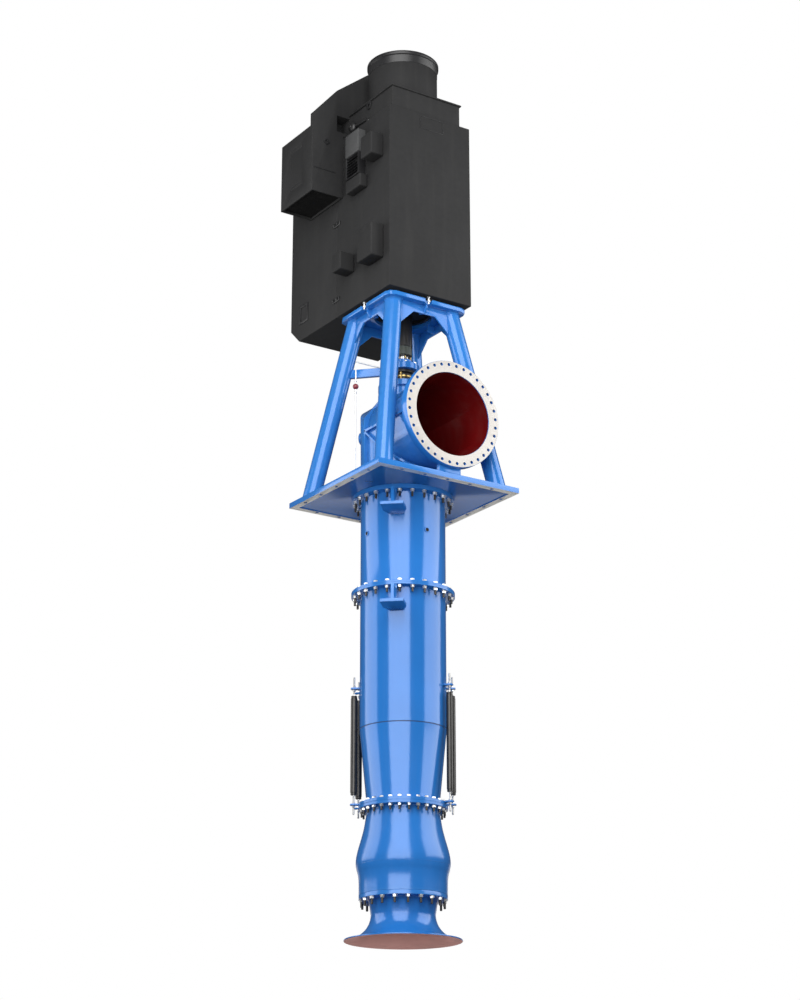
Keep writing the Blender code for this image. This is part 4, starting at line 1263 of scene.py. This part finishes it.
@dataclass
class ShaftLine:
    """The turning line, its stuffing box and bearing, and the arm and pipe beside them."""

    shaft: float = 0.07
    gland_top: float = 1.50
    coupling: tuple[tuple[float, float], ...] = (
        (0.0, 2.46), (0.112, 2.46), (0.116, 2.456), (0.116, 2.033), (0.113, 2.03), (0.108, 2.03),
        (0.108, 1.914), (0.104, 1.91), (0.0, 1.91))
    fasteners: Fasteners = field(default_factory=Fasteners)

    def rotor(self) -> None:
        """The line shaft and the plain coupling with the greenish collar under it."""
        r = self.shaft
        line = [(0.0, -4.54), (r - 0.003, -4.54), (r, -4.537), (r, 1.9067), (r - 0.003, 1.9097), (0.0, 1.9097)]
        settle(soften(turned("line_shaft_turned", line, 64, False), 0.0), BRIGHT, "line_shaft", ["line_shaft"], TURNING)
        hub = soften(turned("shaft_coupling_turned", self.coupling, 64, False), 0.0)
        settle(hub, BLACKED, "shaft_coupling", ["shaft_coupling"], TURNING)
        collar = turned("coupling_collar", [(0.1115, 2.027), (0.1135, 2.025), (0.1135, 1.916), (0.1115, 1.914),
                                            (0.107, 1.914), (0.107, 2.027)], 64)
        settle(soften(collar, 0.0), COLLAR, "shaft_coupling", body=TURNING)

    def gland(self) -> None:
        """The stuffing box with its gland studs and brass packing ring."""
        bore, seat = self.shaft + 0.012, self.gland_top + 0.0003
        outline = [(0.147, 1.70), (0.150, 1.697), (0.150, 1.667), (0.112, 1.655), (0.110, 1.650), (0.110, 1.550),
                   (0.113, 1.545), (0.150, 1.535), (0.150, seat), (bore, seat), (bore, 1.70)]
        settle(soften(turned("stuffing_box_cast", outline, 64), 0.0), BLACKED, "stuffing_box", ["stuffing_box"])
        ring = [(0.118, 1.628), (0.118, 1.612), (0.1096, 1.612), (0.1096, 1.628)]
        studs = []
        for angle in (0, 90, 180, 270):
            stud = bar("gland_stud", (0.134, 0, 1.530), (0.134, 0, 1.672), 0.007, 12)
            nut = self.fasteners.hexagon("gland_nut", 0.024, 1.655, 1.640)
            nut.data.transform(Matrix.Translation((0.134, 0, 0)))
            for piece in (stud, nut):
                piece.data.transform(turn_z(45.0 + angle))
                studs.append(piece)
        studs.append(turned("gland_ring", ring, 48))
        settle(soften(joined("gland_brasses", studs), 0.0), BRASS, "seal_pipe")

    def bearing(self) -> None:
        """The bearing housing over the stuffing box, with its cover bolts and the nuts on its top."""
        bore, low, high = self.shaft + 0.012, 1.7003, 1.85
        outline = [(0.112, high), (0.116, high - 0.004), (0.116, 1.802), (0.121, 1.790), (0.134, 1.782),
                   (0.202, 1.780), (0.205, 1.777), (0.205, low + 0.002), (0.203, low), (bore, low), (bore, high)]
        settle(soften(turned("bearing_housing_cast", outline, 96), 0.0), CAST_BLUE, "bearing_housing",
               ["bearing_housing"])
        bolt = self.fasteners.hexagon("bolt", 0.030, 1.780, 1.799)
        bolt.data.transform(Matrix.Translation((0.180, 0, 0)))
        settle(soften(ring_of("bearing_bolts", bolt, 8, 22.5), 0.0), ZINC, "line_shaft")
        stud = bar("housing_stud", (0.098, 0, high - 0.01), (0.098, 0, high + 0.044), 0.007, 12)
        nut = self.fasteners.hexagon("housing_nut", 0.026, high, high + 0.022)
        nut.data.transform(Matrix.Translation((0.098, 0, 0)))
        ring = ring_of("housing_nuts", joined("housing_stud", [stud, nut]), 6, 15.0)
        settle(soften(ring, 0.0), BRASS, "seal_pipe")

    def arm(self) -> None:
        """The arm from the rear left leg, in its CAD shape with softened edges."""
        settle(soften(copy_node("bearing_arm_bar", "bearing_arm"), 0.003), BLUE, "bearing_arm", ["bearing_arm"])

    def water_pipe(self) -> None:
        """The thin water pipe with its bends and its round valve."""
        x, top, low, reach = -0.70, 1.69, 0.0683, 0.1503
        bend = 0.03
        path = [(x, 0, low), (x, 0, top - bend)]
        path += [(x + bend - bend * math.cos(a), 0, top - bend + bend * math.sin(a))
                 for a in (math.pi / 2 * k / 6 for k in range(1, 7))]
        path += [(-reach, 0, top)]
        deselect()
        line = bpy.data.curves.new("water_pipe", "CURVE")
        line.dimensions = "3D"
        line.bevel_depth = 0.0085
        line.bevel_resolution = 4
        line.use_fill_caps = True
        spline = line.splines.new("POLY")
        spline.points.add(len(path) - 1)
        for point, place in zip(spline.points, path):
            point.co = (*place, 1.0)
        pipe = bpy.data.objects.new("seal_pipe_bent", line)
        bpy.context.scene.collection.objects.link(pipe)
        take(pipe)
        bpy.ops.object.convert(target="MESH")
        pipe = bpy.context.object
        with bench(pipe):
            tidy_mesh()
        fittings = [
            turned("foot_nut", [(0.0, low + 0.03), (0.016, low + 0.03), (0.018, low + 0.026), (0.018, low), (0.0, low)],
                   24, False),
            turned("union", [(0.0, 1.45), (0.013, 1.45), (0.015, 1.447), (0.015, 1.428), (0.013, 1.425), (0.0, 1.425)],
                   24, False),
            turned("low_union", [(0.0, 1.295), (0.013, 1.295), (0.015, 1.292), (0.015, 1.273), (0.013, 1.27),
                                 (0.0, 1.27)], 24, False),
        ]
        for piece in fittings:
            piece.data.transform(Matrix.Translation((x, 0, 0)))
        settle(soften(joined("seal_pipe_bent", [pipe, *fittings]), 0.0), ZINC, "seal_pipe", ["seal_pipe"])
        ball = [(0.036 * math.sin(math.pi * k / 20), 1.36 + 0.036 * math.cos(math.pi * k / 20)) for k in range(21)]
        ball[0], ball[-1] = (0.0, 1.396), (0.0, 1.324)
        valve = turned("seal_valve_ball", ball, 32, False)
        valve.data.transform(Matrix.Translation((x, 0, 0)))
        settle(soften(valve, 0.0), MAROON, "seal_pipe")

    def build(self) -> None:
        """Build the shaft line and what stands beside it."""
        self.rotor()
        self.gland()
        self.bearing()
        self.arm()
        self.water_pipe()


@dataclass
class Stand:
    """The motor stand: four leaning tubes, the top plate and the webs under it."""

    leg: float = 0.111
    foot: float = 0.829
    head: float = 0.425
    low: float = 0.068
    top: float = 2.437
    sides: tuple[tuple[str, int, int], ...] = (
        ("front_left", -1, -1), ("front_right", 1, -1), ("rear_left", -1, 1), ("rear_right", 1, 1))
    fasteners: Fasteners = field(default_factory=Fasteners)

    def legs(self) -> None:
        """The four tubes with weld fillets at both ends."""
        for name, sx, sy in self.sides:
            foot = Vector((sx * self.foot, sy * self.foot, self.low))
            head = Vector((sx * self.head, sy * self.head, self.top))
            way = (head - foot) / (head.z - foot.z)
            leg = bar("stand_leg_%s_tube" % name, foot - way * 0.3, head + way * 0.3, self.leg, 64)
            with bench(leg):
                for height, lower in ((self.low + 0.0003, True), (self.top - 0.0003, False)):
                    bpy.ops.mesh.select_all(action="SELECT")
                    bpy.ops.mesh.bisect(plane_co=(0, 0, height), plane_no=(0, 0, 1), use_fill=True,
                                        clear_inner=lower, clear_outer=not lower)
                tidy_mesh()
            node = "stand_leg_" + name
            settle(soften(leg, 0.0), BLUE, node, [node])
            self.weld(name + "_foot", foot, way, 1.0)
            self.weld(name + "_head", head, way, -1.0)

    def weld(self, name: str, end: Vector, way: Vector, side: float) -> None:
        """A weld fillet round a leg's end.

        Args:
            name: The last part of the piece's name.
            end: The leg's end on its centre line.
            way: The leg's direction for one metre of height.
            side: 1 for a foot and -1 for a head.
        """
        size = 0.012
        outline = [(self.leg - 0.003, 0.0), (self.leg + size, 0.0), (self.leg + size * 0.45, size * 0.45),
                   (self.leg - 0.003, size)]
        bead = turned("leg_weld_" + name, [(r, side * z) for r, z in outline], 64)
        lean = Matrix(((1, 0, way.x, 0), (0, 1, way.y, 0), (0, 0, 1, 0), (0, 0, 0, 1)))
        bead.data.transform(Matrix.Translation(end + Vector((0, 0, 0.0003 * side))) @ lean)
        settle(soften(bead, 0.0), BLUE, "base_plate" if side > 0 else "stand_top_plate")

    def notch_studs(self) -> None:
        """The levelling stud that hangs from the motor into each side's notch."""
        reach, top, low = 0.58, 2.5235, 2.425
        stud = bar("stud", (reach, 0, low), (reach, 0, top), 0.011, 14)
        with bench(stud):
            pick(stud, lambda middle, normal: normal.z < -0.9)
            bpy.ops.mesh.inset(thickness=0.003, depth=0.003)
        nuts = [self.fasteners.hexagon("nut", 0.034, top, top - 0.020),
                self.fasteners.hexagon("nut", 0.034, 2.470, 2.450)]
        for nut in nuts:
            nut.data.transform(Matrix.Translation((reach, 0, 0)))
        ring = ring_of("notch_studs", joined("notch_stud", [stud, *nuts]), 4)
        settle(soften(ring, 0.0), ZINC, "line_shaft")

    def webs(self) -> None:
        """The arched webs between the legs and the small bracket behind each notch."""
        thick, reach, high, end, flat, arch_z = 0.011, 0.48, self.top - 0.0003, 0.46, 0.16, 2.325
        arch = [(-end, high), (end, high), (end, 2.037), (flat, arch_z), (-flat, arch_z), (-end, 2.037)]
        bracket = [(0.375, high), (0.54, high), (0.54, high - 0.04), (0.49, arch_z), (0.375, arch_z + 0.03)]
        pieces = []
        for quarter in range(4):
            web = slab("arch_web", [(u, reach - thick, z) for u, z in arch], (0, 2 * thick, 0))
            arm = slab("mid_bracket", [(u, -thick, z) for u, z in bracket], (0, 2 * thick, 0))
            for piece in (web, arm):
                piece.data.transform(turn_z(90.0 * quarter))
                pieces.append(piece)
        settle(soften(joined("stand_webs_welded", pieces), 0.002), BLUE, "stand_webs", ["stand_webs"])

    def top_plate(self) -> None:
        """The top plate, in its CAD shape with softened edges."""
        settle(soften(copy_node("stand_top_plate_cut", "stand_top_plate"), 0.003), BLUE, "stand_top_plate",
               ["stand_top_plate"])

    def build(self) -> None:
        """Build the stand."""
        self.legs()
        self.top_plate()
        self.webs()
        self.notch_studs()


@dataclass
class Motor:
    """The motor's steel housing: frame, cooler, top housing, roof, bearing drum and boxes."""

    half: float = 0.615
    front: float = -0.629
    joint: float = 0.61
    back: float = 1.743
    low: float = 2.524
    shoulder: float = 5.025
    roof: float = 5.378
    boxes: tuple[str, ...] = ("terminal_box_upper", "terminal_box_lower", "heater_box", "cable_box")
    clamps: tuple[float, float] = (3.831, 2.767)
    window: tuple[float, float, float, float] = (1.31, 1.52, 2.75, 3.01)
    panel: tuple[float, float, float, float] = (-0.155, 0.20, 4.82, 5.00)
    fasteners: Fasteners = field(default_factory=Fasteners)

    def shells(self) -> None:
        """The frame, cooler, top housing and roof, with folded edges."""
        for node in ("motor_frame", "motor_cooler", "motor_top_housing", "motor_roof"):
            settle(soften(copy_node(node + "_folded", node), 0.006, 3), MOTOR_GREY, node, [node])

    def drum(self) -> None:
        """The bearing drum with its lipped cover and the flange under the motor."""
        housing = [(0.0, 5.8717), (0.449, 5.8717), (0.449, 5.3783), (0.0, 5.3783)]
        settle(soften(turned("thrust_housing_drum", housing, ROUND, False), 0.004), MOTOR_GREY, "thrust_housing",
               ["thrust_housing"])
        cover = [(0.0, 6.032), (0.461, 6.032), (0.469, 6.024), (0.469, 5.985), (0.452, 5.975), (0.452, 5.8723),
                 (0.0, 5.8723)]
        settle(soften(turned("thrust_cover_lipped", cover, ROUND, False), 0.002), MOTOR_BLACK, "thrust_cover",
               ["thrust_cover"])
        flange = [(0.558, 2.5237), (0.56, 2.5217), (0.56, 2.4923), (0.558, 2.4903), (0.33, 2.4903), (0.33, 2.5237)]
        settle(soften(turned("motor_flange_ring", flange), 0.0), MOTOR_BLACK, "motor_flange", ["motor_flange"])

    def fittings(self) -> None:
        """The boxes on the motor's left side, with rounded edges."""
        for node in self.boxes:
            settle(soften(copy_node(node + "_lidded", node), 0.022, 4), MOTOR_GREY, node, [node])
        sensor = soften(copy_node("sensor_box_lidded", "sensor_box"), 0.012, 3)
        settle(sensor, BOX_GREY, "sensor_box", ["sensor_box"])

    def joint_clamps(self) -> None:
        """The bolted clamp plates across the joint between frame and cooler, on both sides."""
        parts = []
        for side in (-1, 1):
            face = side * self.half
            for height in self.clamps:
                ends = sorted((face, face + side * 0.016))
                plate = block("clamp", (ends[0], self.joint - 0.075, height - 0.030),
                              (ends[1], self.joint + 0.075, height + 0.030))
                parts.append(soften(plate, 0.008, 3))
                for shift in (-0.042, 0.042):
                    bolt = self.fasteners.hexagon("bolt", 0.034, 0.016, 0.034)
                    bolt.data.transform(Matrix.Translation((face, self.joint + shift, height))
                                        @ Matrix.Rotation(side * math.pi / 2, 4, "Y"))
                    parts.append(bolt)
        settle(soften(joined("joint_clamps", parts), 0.0), MOTOR_BLACK, "motor_frame")

    def frames(self) -> None:
        """The raised frames round the cooler's window and the panel on the front."""
        y0, y1, z0, z1 = self.window
        edge, deep = 0.030, 0.010
        for side in (-1, 1):
            xs = sorted((side * self.half, side * (self.half + deep)))
            rim = block("window_frame_%s" % ("left" if side < 0 else "right"), (xs[0], y0, z0), (xs[1], y1, z1))
            cut(rim, block("opening", (xs[0] - 0.1, y0 + edge, z0 + edge), (xs[1] + 0.1, y1 - edge, z1 - edge)))
            settle(soften(rim, 0.002), MOTOR_BLACK, "motor_cooler")
        x0, x1, z0, z1 = self.panel
        edge = 0.008
        rim = block("front_panel_frame", (x0, self.front - 0.004, z0), (x1, self.front, z1))
        cut(rim, block("opening", (x0 + edge, self.front - 0.1, z0 + edge), (x1 - edge, self.front + 0.1, z1 - edge)))
        settle(soften(rim, 0.001), MOTOR_BLACK, "motor_frame")

    def louvre(self) -> None:
        """The slatted vent under the sensor box."""
        reach, back, y0, y1, z0, z1 = -0.728, -0.6153, -0.065, 0.235, 4.27, 4.5797
        wall = 0.012
        case = block("sensor_louvre_case", (reach, y0, z0), (back, y1, z1))
        cut(case, block("opening", (reach - 0.1, y0 + wall, z0 + wall), (back - 0.02, y1 - wall, z1 - wall)))
        slats = [soften(case, 0.002)]
        for k in range(7):
            low = z0 + wall + 0.004 + 0.040 * k
            outline = [(reach + 0.004, y0 + wall, low), (reach + 0.007, y0 + wall, low),
                       (reach + 0.037, y0 + wall, low + 0.034), (reach + 0.034, y0 + wall, low + 0.034)]
            slats.append(slab("slat", outline, (0, y1 - y0 - 2 * wall, 0)))
        settle(soften(joined("sensor_louvre", slats), 0.0), MOTOR_BLACK, "sensor_box")

    def conduit(self) -> None:
        """The round junction on the top housing, with its conduit down to the frame's shoulder."""
        y, z, wall = 0.30, 5.11, -0.5203
        outline = [(0.0, 0.118), (0.022, 0.118), (0.026, 0.112), (0.026, 0.104), (0.050, 0.098), (0.066, 0.080),
                   (0.070, 0.060), (0.066, 0.040), (0.050, 0.024), (0.050, 0.012), (0.062, 0.010), (0.062, 0.0),
                   (0.0, 0.0)]
        ball = turned("junction", outline, SMALL_ROUND, closed=False)
        ball.data.transform(Matrix.Translation((wall, y, z)) @ Matrix.Rotation(-math.pi / 2, 4, "Y"))
        x = wall - 0.058
        run = [(x, y - 0.03, z), (x, -0.02, 5.085), (x, -0.075, 5.0503), (x, -0.080, 5.0255)]
        parts = [ball]
        for start, end in zip(run, run[1:]):
            parts.append(bar("conduit", start, end, 0.019, 20))
        for point in run[1:3]:
            knee = turned("knee", [(0.019 * math.sin(math.pi * k / 8), 0.019 * math.cos(math.pi * k / 8))
                                   for k in range(9)], 20, closed=False)
            knee.data.transform(Matrix.Translation(point))
            parts.append(knee)
        collar = turned("collar", [(0.0, 5.052), (0.027, 5.052), (0.030, 5.049), (0.030, 5.0253), (0.0, 5.0253)], 24,
                        closed=False)
        collar.data.transform(Matrix.Translation((x, -0.080, 0)))
        parts.append(collar)
        settle(soften(joined("junction_conduit", parts), 0.0), MOTOR_BLACK, "motor_top_housing")

    def lifting_lug(self) -> None:
        """The drilled lifting lug under the roof's edge."""
        x, middle, top = -0.5203, -0.005, 5.3575
        outline = [(x, middle - 0.055, top), (x, middle + 0.055, top), (x, middle + 0.055, top - 0.045),
                   (x, middle + 0.030, top - 0.095), (x, middle - 0.030, top - 0.095), (x, middle - 0.055, top - 0.045)]
        lug = slab("roof_lifting_lug", outline, (-0.018, 0, 0))
        cut(lug, bar("eye", (x - 0.1, middle, top - 0.050), (x + 0.1, middle, top - 0.050), 0.020, 24))
        settle(soften(lug, 0.002), MOTOR_BLACK, "motor_top_housing")

    def build(self) -> None:
        """Build the motor."""
        self.shells()
        self.drum()
        self.fittings()
        self.joint_clamps()
        self.frames()
        self.louvre()
        self.conduit()
        self.lifting_lug()


@dataclass
class AirHood:
    """The sheet-steel air hood over the motor's left rear."""

    outer: float = -1.083
    side: float = -0.6153
    front: float = 0.476
    shoulder: float = 0.536
    back: float = 1.26
    mouth: float = 4.155
    depth: float = 0.45
    wall: float = 0.02
    slots: tuple[tuple[float, float], ...] = ((0.890, 4.915), (0.875, 4.378))
    slot_half: tuple[float, float] = (0.145, 0.030)
    pads: tuple[tuple[float, float, float], ...] = ((-0.390, 0.536, 5.767), (-0.876, 0.476, 4.898))
    lap: tuple[float, float, float] = (-1.060, -0.735, 4.490)

    def slot_ring(self, y: float, z: float) -> bpy.types.Object:
        """The tool for one round-ended groove in the hood's outer side.

        Args:
            y: The slot's middle along Y.
            z: Its middle height.

        Returns:
            A flat ring that reaches four millimetres into the sheet.
        """
        half, r = self.slot_half
        rings = []
        for grow in (0.0, -0.009):
            reach = r + grow
            ends = [(math.pi * k / 10 - math.pi / 2, 1) for k in range(11)]
            ends += [(math.pi * k / 10 + math.pi / 2, -1) for k in range(11)]
            outline = [(self.outer - 0.02, y + way * (half - r) + reach * math.cos(a), z + reach * math.sin(a))
                       for a, way in ends]
            rings.append(slab("slot", outline, (0.024 if not grow else 0.05, 0, 0)))
        return cut(rings[0], rings[1])

    def is_mouth(self, middle: Vector, normal: Vector) -> bool:
        """Whether a face is inside the hood's open mouth."""
        skin = self.wall / 2
        return (self.outer + skin < middle.x < self.side - skin and self.front + skin < middle.y < self.back - skin
                and self.mouth - 0.01 < middle.z < self.mouth + self.depth + 0.01)

    def shell(self) -> None:
        """The hood in its CAD shape, with folded edges and grooved slots; its inside and the slot grooves' walls are
        painted near-black as painted shade.
        """
        hood = copy_node("air_hood_folded", "air_hood")
        # The faces inside the open mouth get painted shade.
        coat(hood, MOTOR_GREY, [(RECESS_SHADE, self.is_mouth)])
        for y, z in self.slots:
            # The walls that each groove leaves get painted shade.
            cut(hood, self.slot_ring(y, z), finish=RECESS_SHADE)
        settle(soften(hood, 0.004, angle=50.0), MOTOR_GREY, "air_hood", ["air_hood"])

    def screen(self) -> None:
        """The framed wire screen just above the mouth, near-black as painted shade inside the hood."""
        low, gap = self.mouth + 0.030, 0.0004
        x0, x1 = self.outer + self.wall + gap, self.side - self.wall - gap
        y0, y1 = self.front + self.wall + gap, self.back - self.wall - gap
        sheet = block("hood_screen", (x0, y0, low), (x1, y1, low + 0.006))
        with bench(sheet):
            pick(sheet, lambda middle, normal: normal.z < -0.9)
            bpy.ops.mesh.inset(thickness=0.022, depth=-0.003)
        # Near-black screen finish: painted shade inside the hood.
        settle(soften(sheet, 0.0), SCREEN_SHADE, "air_hood")

    def trim(self) -> None:
        """The two drilled square pads and the lap seam on the hood's front."""
        size, thick = 0.047, 0.012
        pads = []
        for x, y, z in self.pads:
            corners = [(x - size, y, z), (x, y, z - size), (x + size, y, z), (x, y, z + size)]
            pad = slab("pad", corners, (0, -thick, 0))
            cut(pad, bar("eye", (x, y - 0.1, z), (x, y + 0.1, z), 0.017, 20))
            pads.append(pad)
        settle(soften(joined("hood_pads", pads), 0.0015), MOTOR_BLACK, "air_hood")
        x0, x1, z = self.lap
        lap = block("hood_lap_seam", (x0, self.front - 0.004, z - 0.007), (x1, self.front, z + 0.007))
        with bench(lap):
            pick(lap, lambda middle, normal: normal.y < -0.9)
            bpy.ops.mesh.inset(thickness=0.003, depth=0.001)
        settle(soften(lap, 0.0), MOTOR_BLACK, "air_hood")

    def build(self) -> None:
        """Build the hood."""
        self.shell()
        self.screen()
        self.trim()


@dataclass
class Studio:
    """The pale floor, the soft lights and the camera."""

    eye: tuple[float, float, float] = (-14.223, -20.480, -8.801)
    look: tuple[float, float, float] = (0.5216, 0.7893, 0.3240)
    lens: float = 79.65
    floor: float = -9.6
    floor_radius: float = 5.5
    surround: float = 0.09

    def camera(self) -> None:
        """Stand the camera where the photograph was taken from."""
        data = bpy.data.cameras.new("camera")
        data.lens = self.lens
        data.sensor_width = 36.0
        data.clip_end = 200.0
        item = bpy.data.objects.new("camera", data)
        item.location = self.eye
        item.rotation_mode = "QUATERNION"
        item.rotation_quaternion = Vector(self.look).to_track_quat("-Z", "Y")
        bpy.context.scene.collection.objects.link(item)
        bpy.context.scene.camera = item

    def ground(self) -> None:
        """Lay the floor, which is not part of the pump."""
        deselect()
        bpy.ops.mesh.primitive_circle_add(vertices=96, radius=self.floor_radius, fill_type="NGON",
                                          location=AXIS + Vector((0, 0, self.floor)))
        floor = bpy.context.object
        floor.name = "floor"
        floor.data.materials.append(
            Finish("pale_floor", (0.86, 0.86, 0.85), roughness=0.7, edge_rub_and_highlight=0.0, change=0.01, dustiness=0.0).material())
        floor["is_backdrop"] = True

    def panel(self, name: str, azimuth: float, radiance: float, width: float, height: float = 13.0,
              middle_z: float = 4.5, distance: float = 12.0) -> None:
        """Stand a wide soft panel round the pump, facing its axis.

        Args:
            name: The light's name.
            azimuth: Its direction from the pump's axis, from the camera's own, in degrees.
            radiance: How bright its face is.
            width: Its width.
            height: Its height.
            middle_z: The height of its middle.
            distance: How far it is from the axis.
        """
        data = bpy.data.lights.new(name, "AREA")
        data.shape = "RECTANGLE"
        data.size, data.size_y = width, height
        data.energy = radiance * math.pi * width * height
        item = bpy.data.objects.new(name, data)
        item.visible_camera = False
        turn = math.atan2(-self.look[1], -self.look[0]) + math.radians(azimuth)
        way = Vector((math.cos(turn), math.sin(turn), 0.0))
        item.location = AXIS + way * distance + Vector((0, 0, middle_z))
        item.rotation_mode = "QUATERNION"
        item.rotation_quaternion = (-way).to_track_quat("-Z", "Y")
        bpy.context.scene.collection.objects.link(item)

    def lights(self) -> None:
        """Light the pump with three wide soft panels, a low one behind it and a pale surround."""
        world = bpy.data.worlds.new("surround")
        world.use_nodes = True
        tree = world.node_tree
        sky = tree.nodes["Background"]
        sky.inputs["Color"].default_value = (1.0, 1.0, 1.0, 1.0)
        path = tree.nodes.new("ShaderNodeLightPath")
        level = tree.nodes.new("ShaderNodeMapRange")
        level.inputs["To Min"].default_value = self.surround
        level.inputs["To Max"].default_value = 1.0
        tree.links.new(path.outputs["Is Camera Ray"], level.inputs["Value"])
        tree.links.new(level.outputs["Result"], sky.inputs["Strength"])
        bpy.context.scene.world = world
        self.panel("panel_front", -10.0, 4.2, 12.5, 19.5, 5.25)
        self.panel("panel_left", -94.5, 2.7, 10.4, 9.0, 1.5)
        self.panel("panel_right", 85.7, 3.2, 13.1)
        self.panel("panel_low_rear", 180.0, 0.62, 16.0, 5.0, -5.2)
        bpy.context.scene.view_settings.view_transform = "Standard"

    def build(self) -> None:
        """Set up the studio."""
        self.camera()
        self.ground()
        self.lights()


def write_size() -> None:
    """Update the view layer."""
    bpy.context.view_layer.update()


def main() -> None:
    """Build every sub-assembly in order."""
    logging.basicConfig(level=logging.INFO, format="%(message)s")
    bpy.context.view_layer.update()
    for part in (Studio(), SuctionEnd(), Column(), TieRods(), BasePlate(), DischargeHead(), ShaftLine(), Stand(),
                 Motor(), AirHood()):
        known = {piece.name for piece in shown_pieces()}
        part.build()
        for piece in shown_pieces():
            if piece.name not in known:
                log.info("%s: %s, %d faces", type(part).__name__, piece.name, len(piece.data.polygons))
    write_size()


if __name__ == "__main__":
    main()
